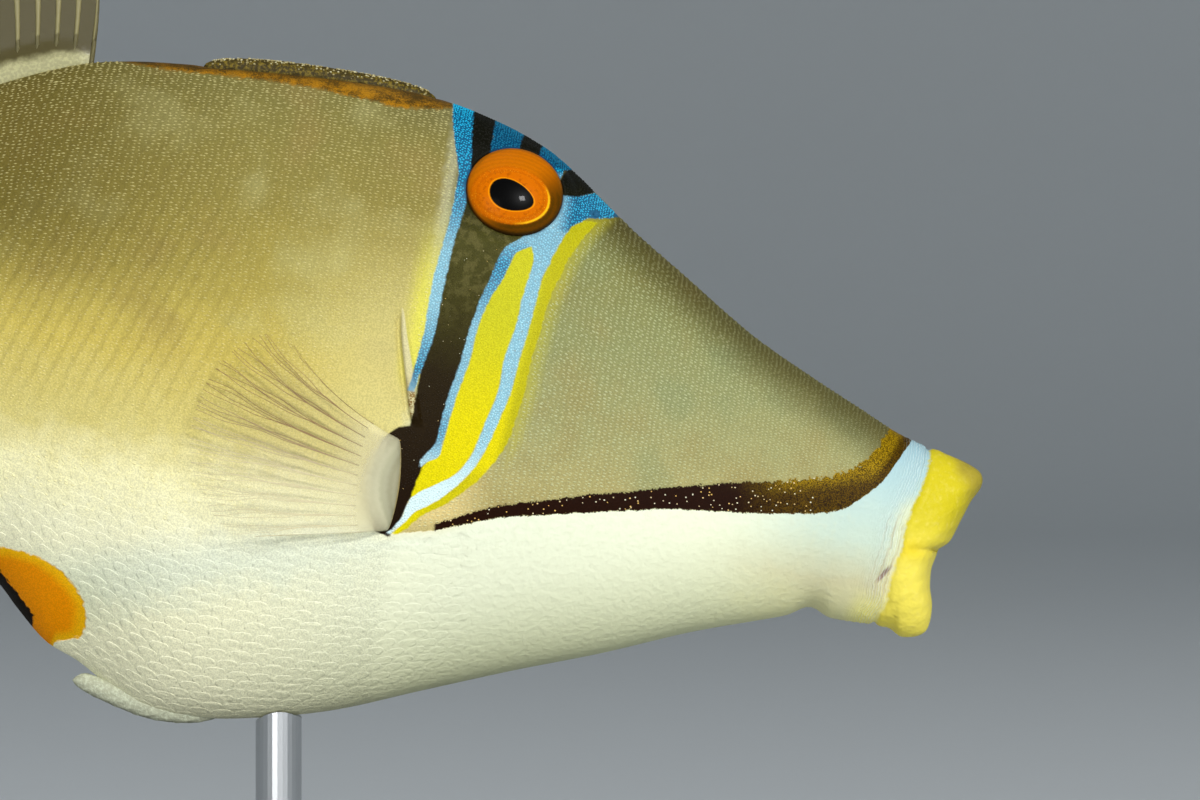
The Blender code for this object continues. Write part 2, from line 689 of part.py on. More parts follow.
def main():
    """Build the fish and its stand."""
    clear_scene()
    group = new_collection("arabian_picassofish")
    cutters = new_collection("cutters")
    belly = min(
        s * math.sin(PITCH) + along(BOTTOM, s) * math.cos(PITCH) for s in range(*BELLY_RANGE))
    pose = bpy.data.objects.new("fish_pose", None)
    pose.location = Vector((NOSE_X, 0, BASE_HEIGHT + BELLY_CLEARANCE - belly)) * MM
    pose.rotation_euler = (0.0, PITCH, 0.0)
    group.objects.link(pose)
    bpy.context.view_layer.update()

    head_skin = new_material("head_skin", (0.72, 0.70, 0.62), 0.4)
    trunk_skin = new_material("trunk_skin", (0.56, 0.50, 0.38), 0.4)
    tail_skin = new_material("tail_skin", (0.66, 0.62, 0.52), 0.4)
    lip_skin = new_material("lip_skin", (0.78, 0.62, 0.24), 0.4)
    iris = new_material("eye_surface", (0.70, 0.24, 0.04), 0.1)
    membrane = new_material("fin_membrane", (0.72, 0.66, 0.52), 0.35)
    spine = new_material("spine_scute", (0.55, 0.47, 0.34), 0.5)

    clearance = link("body_clearance", body_loft(GAP), cutters, pose, None)
    build_body(group, cutters, pose, head_skin, trunk_skin)
    build_tail(group, cutters, pose, tail_skin)
    link("upper_lip", lip(UPPER_LIP, 13.3, -0.5), group, pose, lip_skin)
    link("lower_lip", lip(LOWER_LIP, -1.0, -13.6), group, pose, lip_skin)
    link("eye_left", eye_ball(1), group, pose, iris)
    link("eye_right", eye_ball(-1), group, pose, iris)
    link("first_dorsal_fin", first_dorsal(), group, pose, spine)
    link("pelvic_spine", pelvic_spine(), group, pose, spine)
    build_fins(group, pose, membrane, clearance)
    build_stand(group, cutters, clearance)


main()
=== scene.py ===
"""Looks of the life-size Arabian picassofish, laid out as an add-on and run as a script.

Lengths in the tables are millimetres in the fish's own frame: s back from the mouth, y to its
left and h up. The pieces are placed in metres in the shared frame.
"""
import math
from collections import namedtuple

import bmesh
import bpy
import numpy as np
from bpy.props import FloatProperty, FloatVectorProperty, IntProperty, PointerProperty
from mathutils import Matrix, Vector


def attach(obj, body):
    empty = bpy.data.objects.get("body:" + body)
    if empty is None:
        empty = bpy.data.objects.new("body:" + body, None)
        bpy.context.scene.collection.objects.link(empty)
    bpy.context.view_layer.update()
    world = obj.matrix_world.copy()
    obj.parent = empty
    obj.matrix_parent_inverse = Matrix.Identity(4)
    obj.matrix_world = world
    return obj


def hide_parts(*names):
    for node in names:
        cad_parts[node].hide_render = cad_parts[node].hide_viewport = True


bl_info = {
    "name": "Arabian picassofish",
    "version": (1, 0, 0),
    "blender": (4, 5, 0),
    "location": "View3D > Sidebar > Picassofish",
    "description": "Skin, scales, eyes, fins and stand of a life-size picassofish model",
    "category": "Object",
}

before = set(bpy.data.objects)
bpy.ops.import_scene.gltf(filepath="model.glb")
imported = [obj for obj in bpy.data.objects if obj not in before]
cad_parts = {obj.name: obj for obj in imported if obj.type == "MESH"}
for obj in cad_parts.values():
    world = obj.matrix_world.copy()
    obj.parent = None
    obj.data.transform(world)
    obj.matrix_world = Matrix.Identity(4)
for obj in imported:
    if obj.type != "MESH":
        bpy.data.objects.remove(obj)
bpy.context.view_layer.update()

MM = 0.001
PITCH = math.radians(9.0)
MOUTH = Vector((0.1229, 0.0, 0.07004))
BODY = "root"

# Body outline, as (s, h)
TOP = [
    (3.4, 13.4), (9, 15.0), (14.2, 17.3), (22, 20.8), (31, 25.2), (42.3, 32.3), (50, 37.2),
    (59.5, 44.0), (64, 46.6), (71, 49.1), (80, 51.0), (92, 51.5), (110, 50.6), (127, 48.6),
    (140, 43.6), (152, 36.6), (165, 28.0), (176, 20.5), (184, 15.6), (192, 12.6), (200, 12.2),
    (206, 13.0), (210.5, 13.5), (213, 12.6),
]
BOTTOM = [
    (7, -12.3), (14, -12.4), (17.4, -11.8), (21, -13.2), (33, -17.3), (45, -22.2), (57, -26.6),
    (69, -31.3), (81, -36.0), (93, -39.0), (101, -40.0), (107, -39.6), (112, -37.4),
    (117, -34.6), (121.8, -32.6), (126.9, -28.2), (129.1, -26.0), (134, -23.2), (150, -17.8),
    (165, -12.6), (176, -8.8), (184, -6.4), (192, -5.2), (200, -5.2), (206, -6.0),
    (210.5, -6.7), (213, -6.0),
]
HALF_WIDTH = [
    (4, 8.1), (8, 8.2), (14, 8.8), (22, 9.9), (34, 12.0), (48, 14.4), (60, 16.2), (72, 17.8),
    (84, 19.0), (96, 19.0), (110, 17.8), (127, 15.2), (145, 11.6), (160, 8.8), (176, 6.4),
    (188, 5.2), (198, 4.5), (206, 3.6), (210.5, 2.4), (213, 1.2),
]
WIDEST_LEVEL = [
    (4, 0.5), (14, 1.0), (34, 0.0), (48, 0.0), (60, 1.0), (72, 2.0), (84, 3.0), (100, 5.0),
    (127, 8.0), (150, 8.5), (170, 6.0), (188, 4.0), (208, 3.4),
]
# Section powers: 0.5 is an ellipse, less is blunt and more is keeled
BACK_POWER = [
    (4, 0.5), (20, 0.55), (40, 0.52), (54, 0.42), (66, 0.33), (78, 0.42), (92, 0.5),
    (110, 0.55), (130, 0.6), (208, 0.55),
]
BELLY_POWER = [
    (4, 0.5), (20, 0.55), (50, 0.6), (80, 0.62), (100, 0.66), (114, 0.85), (124, 0.85),
    (134, 0.66), (208, 0.55),
]
BODY_END = 213.0

# Lips, front outline as (h, s)
UPPER_LIP = [
    (-0.5, 1.2), (1.1, -0.4), (4.1, -1.5), (7.0, -2.5), (9.3, -3.6), (11.1, -3.2), (12.2, -1.2),
    (12.9, 1.0), (13.3, 2.6),
]
LOWER_LIP = [
    (-13.6, 4.4), (-13.4, 2.6), (-12.4, 1.2), (-11.0, 0.6), (-8.2, 0.6), (-5.6, 1.3),
    (-2.8, 1.5), (-1.0, 1.1),
]
LIP_ROOT_S = 5.15
LIP_ROOT_H = 0.55
LIP_ROOT_SLOPE = 0.136
LIP_BLUNTNESS = 0.4
MOUTH_H = -0.9
LOWER_LIP_SWELL = 0.125
LOWER_LIP_LEVEL = -13.9
# Rear edge of the lips on the flank, as (h, s)
LIP_EDGE = [
    (-12.1, 8.0), (-10.8, 7.9), (-8.7, 7.1), (-5.7, 7.1), (-3.1, 6.8), (-0.9, 6.5), (2.5, 6.4),
    (6.1, 5.5), (8.0, 4.9), (11.7, 4.3), (13.2, 4.3),
]
LIP_PIT = (8.3, -4.8)

# Eyes, nostrils and gill opening
EYE_S = 66.7
EYE_H = 39.5
EYE_LENGTH = 13.5
EYE_DEPTH = 12.8
EYE_BULGE = 2.9
EYE_BACK = 5.0
EYE_SINK = 0.9
EYE_TILT = math.radians(21.0)
EYE_FORWARD = math.radians(6.0)
# Millimetres across the whole of the eye's own UV map
EYE_DISC = 20.0
EYE_GRID = (72, 96)
NOSTRILS = ((55.4, 38.0), (53.2, 36.4))
# Rear edge of the gill opening, as (h, s)
GILL_SLIT = [(4.2, 74.4), (6.2, 75.7), (9.6, 76.8), (13.5, 77.9), (17.5, 78.9), (21.0, 79.4)]

# Skin grid: rows from the mouth to the tail root, as (row, s) past the lips
LIP_ROWS = 44
END_ROWS = 8
STATION_ROWS = [(0, LIP_ROOT_S), (30, 14.5), (124, 80.0), (246, BODY_END)]
SKIN_ROWS = LIP_ROWS + STATION_ROWS[-1][0] + END_ROWS
SKIN_COLUMNS = 288

# Bands behind and below the eye, as (h, s of the rear edge, s of the front edge)
BLUE_BANDS = [
    [(10.0, 76.9, 75.9), (12.2, 76.5, 75.6), (14.4, 76.3, 75.1), (18.6, 75.9, 74.4),
     (22.8, 75.9, 74.3), (27.0, 75.7, 74.1), (31.2, 75.2, 73.8), (35.5, 74.8, 73.2),
     (38.4, 74.8, 73.1), (41.0, 74.9, 73.2), (46.0, 76.4, 73.8), (50.4, 77.4, 74.4),
     (54.0, 78.0, 74.8)],
    [(0.0, 73.7, 73.4), (0.8, 73.6, 72.7), (1.6, 73.2, 71.4), (3.5, 72.0, 71.0),
     (6.8, 71.7, 70.6), (11.1, 71.1, 70.0), (15.4, 70.3, 69.1), (19.6, 69.8, 68.8),
     (23.9, 69.0, 67.8), (27.2, 68.1, 66.4), (29.4, 67.6, 65.8), (30.9, 67.1, 65.2),
     (31.9, 66.4, 63.8), (32.7, 65.3, 62.6), (33.7, 64.3, 62.6)],
    [(-9.7, 76.7, 76.1), (-8.7, 75.8, 75.2), (-7.3, 75.0, 74.1), (-6.2, 74.7, 73.3),
     (-5.3, 74.5, 71.9), (-4.1, 73.8, 70.4), (-2.7, 72.0, 69.0), (-1.8, 70.6, 68.2),
     (-0.8, 69.2, 67.4), (0.4, 68.1, 66.6), (2.3, 67.0, 65.6), (4.3, 66.4, 64.9),
     (8.1, 65.5, 63.9), (12.1, 64.6, 62.9), (16.3, 64.5, 62.5), (20.7, 63.7, 61.9),
     (24.9, 63.4, 61.5), (28.2, 62.9, 61.1), (30.5, 62.7, 60.4), (32.5, 63.3, 59.8),
     (34.5, 63.0, 59.0)],
]
YELLOW_BANDS = [
    [(-4.8, 74.9, 74.2), (-3.9, 74.8, 73.5), (-2.7, 74.6, 72.0), (-1.8, 74.4, 70.6),
     (-0.8, 74.2, 69.2), (0.1, 73.8, 68.3), (0.9, 72.6, 67.8), (1.6, 71.5, 67.4),
     (3.5, 71.0, 66.6), (7.3, 70.6, 65.7), (11.5, 70.0, 64.7), (15.9, 69.1, 64.5),
     (20.1, 68.8, 63.7), (24.4, 67.8, 63.3), (27.3, 66.4, 62.9), (29.9, 65.8, 62.7),
     (31.3, 65.0, 62.6), (31.9, 63.9, 62.6), (32.4, 63.0, 62.7)],
    [(-9.6, 76.1, 75.2), (-8.7, 75.2, 74.1), (-7.6, 74.3, 73.2), (-6.5, 73.7, 72.2),
     (-5.7, 72.6, 71.1), (-4.9, 71.4, 69.8), (-3.5, 69.8, 68.2), (-2.1, 68.5, 66.8),
     (-0.8, 67.4, 65.6), (0.6, 66.5, 64.6), (2.9, 65.4, 63.3), (5.4, 64.6, 62.2),
     (8.1, 63.9, 61.7), (12.4, 62.9, 61.0), (16.6, 62.5, 60.8), (20.9, 61.9, 60.2),
     (25.1, 61.5, 59.7), (28.5, 61.1, 58.8), (33.0, 59.8, 57.2), (37.0, 58.1, 54.8)],
]
DARK_BANDS = [
    [(3.0, 75.8, 72.0), (6.5, 75.4, 71.7), (10.6, 75.3, 71.1), (14.9, 75.1, 70.3),
     (19.1, 74.4, 69.8), (23.3, 74.3, 69.0), (27.2, 74.1, 67.9), (30.9, 73.8, 66.9),
     (31.9, 73.8, 66.2), (32.7, 73.7, 65.1), (33.7, 73.6, 64.1), (35.7, 73.2, 66.0),
     (41.1, 73.2, 70.0), (44.9, 73.6, 71.0), (49.0, 74.2, 71.1), (54.0, 74.6, 71.1)],
    [(44.0, 67.0, 64.3), (45.0, 67.2, 64.0), (47.0, 67.0, 63.8), (52.0, 66.6, 63.4)],
    [(39.2, 61.2, 59.8), (40.0, 61.0, 58.4), (41.2, 60.9, 56.4), (43.0, 60.1, 56.4),
     (46.0, 59.2, 56.0)],
]
# Depth of each blue band's colour, as (h, share)
AZURE = [
    [(9.0, 0.2), (13.0, 0.85), (17.5, 0.55), (22.0, 0.22), (30.0, 0.3), (35.0, 0.75),
     (40.0, 0.95), (50.0, 1.0)],
    [(0.0, 0.25), (5.0, 0.65), (9.0, 0.35), (20.0, 0.3), (25.5, 0.7), (29.0, 0.85),
     (31.5, 0.6), (33.5, 0.3)],
    [(-9.0, 0.0), (5.0, 0.05), (16.0, 0.15), (28.0, 0.25), (33.0, 0.35)],
]
# Patches, as outlines in (s, h)
BLUE_PATCHES = [
    [(71.1, 54.0), (66.8, 52.0), (66.9, 47.7), (67.2, 44.6), (71.0, 43.9), (71.1, 48.9)],
    [(63.8, 50.0), (58.9, 47.0), (59.5, 43.9), (60.6, 43.3), (61.0, 41.4), (64.3, 44.4)],
    [(61.4, 39.7), (58.6, 39.9), (55.9, 41.1), (51.9, 38.4), (54.7, 37.5), (56.1, 37.4),
     (58.2, 35.9), (59.5, 33.7), (61.4, 32.3), (63.3, 32.2), (64.4, 33.0), (64.3, 34.2),
     (62.8, 36.0)],
]
AXIL_PATCH = [
    (77.6, 4.4), (74.4, 5.6), (71.9, 3.6), (72.4, 1.8), (73.4, 0.4), (73.6, -0.3), (74.4, -4.2),
    (75.3, -7.8), (76.4, -9.8), (78.2, -9.4), (79.4, -6.0), (79.6, -1.0), (79.0, 2.6),
]
# Dark line along the cheek, as (s, upper edge, lower edge)
CHEEK_LINE = [
    (6.0, 22.0, 16.0), (8.4, 19.5, 11.6), (10.1, 16.0, 8.4), (11.3, 13.1, 6.8),
    (12.9, 10.9, 5.2), (15.3, 8.5, 3.2), (18.3, 7.4, 2.2), (20.5, 6.8, 1.8), (24.1, 5.7, 1.2),
    (28.0, 5.0, 0.7), (32.0, 4.2, 0.3), (36.0, 3.3, -0.1), (40.6, 2.2, -0.7), (43.8, 1.3, -1.4),
    (49.8, -0.1, -2.6), (55.8, -1.9, -3.9), (61.8, -3.5, -5.2), (65.7, -5.1, -6.6),
    (68.2, -6.4, -7.5), (70.4, -7.5, -8.3), (74.0, -9.6, -9.2),
]
VENT = (128.0, -28.6, 11.8, 8.4)
# Lower front edge of the orange round the vent, as s, h, slope and where it ends
VENT_EDGE = (116.1, -30.9, 0.29, 120.3)
# Dark opening along the keel, as first s, last s and height
VENT_OPENING = (123.8, 134.5, 2.3)
# Golden stripe under the first dorsal fin, as (s, width)
BACK_STRIPE = [(75.0, -0.6), (78.0, 1.4), (84.0, 2.9), (88.5, 2.8), (99.0, 2.0), (112.0, 1.5),
               (120.0, 1.0), (127.0, -0.4)]
GILL_FLAP_WIDTH = 1.15
GILL_TOP = 21.0
# An edge's distance across a band is less than its distance along the body
BAND_SLANT = 0.97
LINE_SLANT = 0.96
# Smooth skin round the pectoral fin's root, as s, h, half length and half height
FIN_PATCH = (80.5, 3.0, 6.0, 12.0)

# Spacing of scales, ridges and granules along and across the body, as (s, spacing)
SCALE_STEP = [(12.5, 0.85), (40.0, 1.05), (75.0, 1.45), (100.0, 1.6), (150.0, 1.5), (211.0, 0.95)]
SCALE_PITCH = [(12.5, 1.75), (40.0, 2.15), (75.0, 3.0), (100.0, 3.3), (150.0, 3.1), (211.0, 2.0)]
RIDGE_STEP = [(76.0, 0.76), (95.0, 0.84), (211.0, 0.82)]
RIDGE_PITCH = [(76.0, 0.46), (95.0, 0.49), (211.0, 0.48)]
CHEEK_STEP = [(11.0, 0.48), (30.0, 0.64), (50.0, 0.76), (77.0, 0.78)]
CHEEK_PITCH = [(11.0, 0.33), (30.0, 0.41), (50.0, 0.46)]
BAND_STEP = [(53.0, 0.34), (80.0, 0.34)]
BAND_PITCH = [(53.0, 0.42), (80.0, 0.42)]
LINE_STEP = [(20.0, 0.5), (72.0, 0.5)]
LINE_PITCH = [(20.0, 0.55), (72.0, 0.55)]
# Rings of a small form from its root up, as (share of its width, share of its rise)
GRANULE_RINGS = ((1.0, -1.0), (0.62, 0.55))
RIDGE_RINGS = ((1.0, -1.0), (0.5, 0.55))
PLATE_RINGS = ((1.0, -6.0), (0.97, 0.4), (0.82, 1.0))
# Half length, half width and rise of the specks in the dark bars and in the cheek line
BAR_SPECK = (0.085, 0.07, 0.07)
LINE_SPECK = (0.15, 0.13, 0.09)
# A small form's reach in the skin's own UV map
FORM_PATCH = 0.0013
# Points nearer than this in metres are one
WELD = 2e-7
# Seeds of the random draws
SEEDS = {
    "cheek": 3, "band": 4, "line": 6, "plates": 8, "ridges": 9, "granules": 11,
    "plate_sizes": 12, "ridge_sizes": 13, "bar_chance": 14, "line_chance": 15,
    "band_chance": 16, "dorsal": 21, "rays": 31,
}

# Ramps of the ground colours, as (share of the ramp, linear colour)
TRUNK_STOPS = [
    (0.08, (0.90, 0.88, 0.60)), (0.27, (0.89, 0.87, 0.59)), (0.35, (0.87, 0.82, 0.47)),
    (0.43, (0.63, 0.545, 0.19)), (0.545, (0.54, 0.43, 0.095)), (0.66, (0.36, 0.29, 0.062)),
    (0.78, (0.25, 0.205, 0.048)), (0.94, (0.20, 0.175, 0.05)),
]
HEAD_STOPS = [
    (0.0, (0.43, 0.365, 0.145)), (0.25, (0.32, 0.31, 0.13)), (0.5, (0.25, 0.26, 0.105)),
    (0.8, (0.20, 0.195, 0.060)), (1.0, (0.12, 0.105, 0.030)),
]
THROAT_STOPS = [
    (0.0, (0.66, 0.68, 0.41)), (0.35, (0.76, 0.79, 0.58)), (0.75, (0.75, 0.79, 0.63)),
    (1.0, (0.74, 0.76, 0.56)),
]
SNOUT_STOPS = [
    (0.0, (0.72, 0.70, 0.36)), (0.22, (0.59, 0.56, 0.34)), (0.46, (0.52, 0.62, 0.51)),
    (0.68, (0.45, 0.59, 0.55)), (1.0, (0.31, 0.49, 0.55)),
]
DARK_STOPS = [
    (0.0, (0.012, 0.005, 0.001)), (0.3, (0.018, 0.011, 0.002)), (0.5, (0.044, 0.039, 0.005)),
    (0.64, (0.060, 0.056, 0.010)), (0.74, (0.015, 0.014, 0.003)), (0.82, (0.005, 0.005, 0.002)),
    (1.0, (0.003, 0.003, 0.001)),
]
# Pale and deep blue of the bands, on the granules and on the skin between them; the granules' lighter
# blues are partly a painted glint
RAISED_BLUES = ((0.42, 0.67, 0.73), (0.006, 0.37, 0.60))
SKIN_BLUES = ((0.29, 0.54, 0.64), (0.001, 0.085, 0.19))
# Scales of the noises in the skin's colours, from the widest
CLOUD_SCALE = 0.085
BLUR_SCALE = 0.35
FINE_SCALE = 1.3
SPECK_SCALE = 4.5
# Where the head's colours end and the trunk's begin
HEAD_END = (74.0, 77.5)
# Slanting seams between the flank's rows of scales, as spacing and lean
SEAM_SPACING = 2.35
SEAM_LEAN = 0.38

# Folded first dorsal spine, as (s, rise over the back, half thickness)
FIRST_DORSAL = [
    (79.5, 0.1, 0.5), (82.5, 0.7, 1.2), (87, 1.0, 1.3), (95, 1.2, 1.2), (103.5, 1.3, 1.0),
    (108.5, 1.1, 0.8), (112.7, 0.4, 0.3),
]
FIRST_DORSAL_ROOT = 1.7
DORSAL_GRANULES = 420
DORSAL_GRANULE = (0.20, 0.14, 0.12)
# Pelvic spine along the keel, as (s, h, radius)
PELVIC_SPINE = [
    (96, -38.6, 0.6), (99.5, -39.3, 1.1), (103, -39.6, 1.25), (106.5, -39.5, 1.25),
    (110, -38.9, 1.15), (113.5, -38.1, 1.0), (115.8, -37.5, 0.8), (117.2, -37.3, 0.3),
]
# Fins: roots, the web's thickness and its hollow between the rays, and the rays' end
ROOT_DEPTH = 1.8
WEB_THICKNESS = 0.16
WEB_HOLLOW = 0.02
RAY_END = 0.995
# Cells of a web between two rays and from root to edge, and sides and rows of a ray
WEB_GRID = (6, 36)
RAY_GRID = (6, 26)
SECOND_DORSAL_BASE = (128.0, 183.5)
SECOND_DORSAL_LENGTH = [
    (0.0, 18.5), (0.04, 23.0), (0.1, 26.0), (0.2, 27.0), (0.5, 22.5), (0.8, 17.0), (0.93, 13.5),
    (1.0, 9.5),
]
SECOND_DORSAL_LEAN = [(0.0, 1.0), (0.3, 14.0), (1.0, 50.0)]
ANAL_BASE = (134.0, 183.0)
ANAL_LENGTH = [
    (0.0, 14.0), (0.05, 18.5), (0.12, 21.5), (0.22, 22.5), (0.5, 19.5), (0.8, 15.0),
    (0.93, 12.0), (1.0, 8.5),
]
ANAL_LEAN = [(0.0, 12.0), (0.3, 22.0), (1.0, 52.0)]
CAUDAL_ROOT_S = 208.0
CAUDAL_ROOT_HEIGHT = (10.8, -4.2)
CAUDAL_SPREAD = math.radians(20.0)
CAUDAL_LENGTH = [
    (0.0, 41.5), (0.05, 44.5), (0.2, 45.0), (0.5, 45.5), (0.8, 45.0), (0.95, 44.5), (1.0, 41.5),
]
CAUDAL_SWAY = 4.0
PECTORAL_ROOT = ((76.7, 3.2), (76.4, -9.3))
PECTORAL_ROOT_BOW = 0.8
PECTORAL_CENTRE = (79.4, -2.4)
PECTORAL_ANGLE = [(0.0, 50.0), (0.25, 27.0), (0.6, 0.0), (1.0, -36.0)]
PECTORAL_LENGTH = [
    (0.0, 21.0), (0.06, 24.4), (0.15, 25.6), (0.3, 26.2), (0.6, 25.4), (0.85, 22.4), (0.95, 20.4),
    (1.0, 17.5),
]
PECTORAL_BOW = 1.3
PECTORAL_LOBE = 3.2
PECTORAL_DECAY = 2.2
PECTORAL_SINK = 1.1
PECTORAL_STANDOFF = 1.8
# Spine rows on the tail, as (first s, last s, count, share of the depth from below)
SPINE_ROWS = [(171.0, 203.5, 10, 0.73), (166.0, 204.5, 13, 0.5), (171.0, 203.5, 10, 0.27)]
SPINE_LENGTH = 2.4
SPINE_RADIUS = 0.62
SPINE_SINK = 0.7
SPINE_FORWARD = math.radians(42.0)
# Sides and rows of a tail spine, and of the dorsal and the pelvic spine
SPINE_GRID = (8, 6)
BAR_GRID = (24, 70)

# Studio in metres: the floor's section as (radius, height), and the lights as name, place, size
FLOOR_PROFILE = [(2.0, 0.0), (3.2, 0.0), (3.6, 0.07), (3.95, 0.27), (4.2, 0.6), (4.3, 1.1), (4.3, 4.0)]
LIGHTS = [
    ("key", (0.78, -1.7, 0.95), 0.2), ("fill", (-0.6, -2.2, 0.5), 1.0),
    ("top", (-0.3, -0.2, 2.6), 2.0),
]
LIGHT_AIM = (0.05, 0.0, 0.1)


def along(table, x, column=1):
    """A smooth curve through a column of the table, carried on straight past its ends."""
    xs, ys = np.array(table, dtype=float)[:, [0, column]].T
    x = np.asarray(x, dtype=float)
    slope = np.empty_like(xs)
    slope[1:-1] = (ys[2:] - ys[:-2]) / (xs[2:] - xs[:-2])
    slope[0] = (ys[1] - ys[0]) / (xs[1] - xs[0])
    slope[-1] = (ys[-1] - ys[-2]) / (xs[-1] - xs[-2])
    i = np.clip(np.searchsorted(xs, x, side="right") - 1, 0, len(xs) - 2)
    width = xs[i + 1] - xs[i]
    t = (x - xs[i]) / width
    start = (1 + 2 * t) * (1 - t) ** 2 * ys[i] + t * (1 - t) ** 2 * width * slope[i]
    end = t * t * (3 - 2 * t) * ys[i + 1] - t * t * (1 - t) * width * slope[i + 1]
    before = ys[0] + slope[0] * (x - xs[0])
    after = ys[-1] + slope[-1] * (x - xs[-1])
    return np.where(x < xs[0], before, np.where(x > xs[-1], after, start + end))


def linear(table, x):
    """Straight lines through the table's points, level past its ends."""
    return np.interp(x, *zip(*table))


def ease(low, high, x):
    """A smooth step from 0 at low to 1 at high, which may be the lesser."""
    t = np.clip((x - low) / (high - low), 0.0, 1.0)
    return t * t * (3.0 - 2.0 * t)


def hump(x, middle, half):
    """A smooth bump of height 1 at its middle."""
    return np.exp(-(((x - middle) / half) ** 2))


def to_world(s, y, h):
    """Points of the fish's frame in millimetres as shared coordinates in metres."""
    fore = -np.asarray(s, dtype=float)
    x = fore * math.cos(PITCH) + h * math.sin(PITCH)
    z = -fore * math.sin(PITCH) + h * math.cos(PITCH)
    parts = np.broadcast_arrays(x * MM + MOUTH.x, y * MM + MOUTH.y, z * MM + MOUTH.z)
    return np.stack(parts, axis=-1)


def direction(s, y, h):
    """A direction of the fish's frame as a unit vector of the shared frame."""
    way = to_world(s, y, h) - to_world(0.0, 0.0, 0.0)
    return way / np.linalg.norm(way, axis=-1, keepdims=True)


def to_fish(points):
    """Shared coordinates in metres as s, y and h in millimetres."""
    x = (points[..., 0] - MOUTH.x) / MM
    z = (points[..., 2] - MOUTH.z) / MM
    s = -(x * math.cos(PITCH) - z * math.sin(PITCH))
    h = x * math.sin(PITCH) + z * math.cos(PITCH)
    return s, (points[..., 1] - MOUTH.y) / MM, h


def section_half(s, upper):
    """Reach from the widest level to the back or the keel, and that half's power."""
    middle = along(WIDEST_LEVEL, s)
    reach = np.where(upper, along(TOP, s) - middle, middle - along(BOTTOM, s))
    return reach, np.where(upper, along(BACK_POWER, s), along(BELLY_POWER, s))


def body_side(s, h):
    """Half the body's thickness at a place on its flank."""
    middle = along(WIDEST_LEVEL, s)
    reach, power = section_half(s, h >= middle)
    level = np.clip(np.abs(h - middle) / reach, 0.0, 1.0)
    return along(HALF_WIDTH, s) * np.sqrt(1.0 - level * level) ** (2.0 * power)


def body_section(s, turn, inset):
    """Sideways place and height round a section of the body, turn 0 at the back."""
    level, side = np.cos(turn), np.sin(turn)
    reach, power = section_half(s, level >= 0)
    half = np.maximum(along(HALF_WIDTH, s) - inset, 0.3)
    y = np.sign(side) * half * np.abs(side) ** (2.0 * power)
    return y, along(WIDEST_LEVEL, s) + (reach - inset) * level


def outline_distance(outline, s, h):
    """Distance to a closed outline in the side view, positive inside."""
    near = np.full(s.shape, 1e9)
    inside = np.zeros(s.shape, dtype=bool)
    for (s0, h0), (s1, h1) in zip(outline, outline[1:] + outline[:1]):
        ds, dh = s1 - s0, h1 - h0
        t = np.clip(((s - s0) * ds + (h - h0) * dh) / (ds * ds + dh * dh), 0.0, 1.0)
        near = np.minimum(near, np.hypot(s - s0 - t * ds, h - h0 - t * dh))
        crosses = (h0 > h) != (h1 > h)
        inside ^= crosses & (s < s0 + (h - h0) * ds / (dh if dh else 1e-9))
    return np.where(inside, near, -near)


def band_distance(band, s, h):
    """Distance to the edges of an upright band, positive inside."""
    across = np.minimum(s - along(band, h, 2), along(band, h) - s) * BAND_SLANT
    return np.minimum(across, np.minimum(h - band[0][0], band[-1][0] - h))


def eye_matrix(side):
    """Place and turn of an eye, its own Z looking out of the head."""
    tilt, ahead = math.cos(EYE_TILT), math.cos(EYE_FORWARD)
    out = Vector((math.sin(EYE_FORWARD) * tilt, side * ahead * tilt, math.sin(EYE_TILT)))
    fore = Vector((1, 0, 0))
    fore = (fore - out * fore.dot(out)).normalized()
    up = out.cross(fore)
    flank = float(body_side(EYE_S, EYE_H))
    centre = Vector((-EYE_S, side * flank, EYE_H)) - out * EYE_SINK
    local = Matrix.Translation(centre) @ Matrix((fore, up, out)).transposed().to_4x4()
    pose = Matrix.Translation(MOUTH) @ Matrix.Rotation(PITCH, 4, "Y") @ Matrix.Scale(MM, 4)
    return pose @ local


def turned(points, matrix):
    """Points under a matrix."""
    turn = np.array(matrix)
    return points @ turn[:3, :3].T + turn[:3, 3]


def eye_places(points, side):
    """Points as millimetres in an eye's own frame, and how far out they are as a share of it."""
    local = turned(points, eye_matrix(side).inverted())
    return local, np.hypot(local[..., 0] / (EYE_LENGTH / 2.0), local[..., 1] / (EYE_DEPTH / 2.0))


def lip_distance(s, h):
    """How far back a place is from the lips' rear edge."""
    return s - along(LIP_EDGE, np.clip(h, -12.4, 13.4))


def gill_distance(s, h):
    """How far back a place is from the gill opening's edge."""
    return s - along(GILL_SLIT, h)


def gill_flap_width(h):
    """Width of the flap along the gill opening, narrower at its top."""
    return GILL_FLAP_WIDTH * np.sqrt(np.clip((GILL_TOP - h) / 7.0, 0.0, 1.0))


def fin_patch(s, h):
    """How far out a place is from the pectoral fin's root, as a share of the smooth patch."""
    middle_s, middle_h, long, high = FIN_PATCH
    return np.hypot((s - middle_s) / long, (h - middle_h) / high)


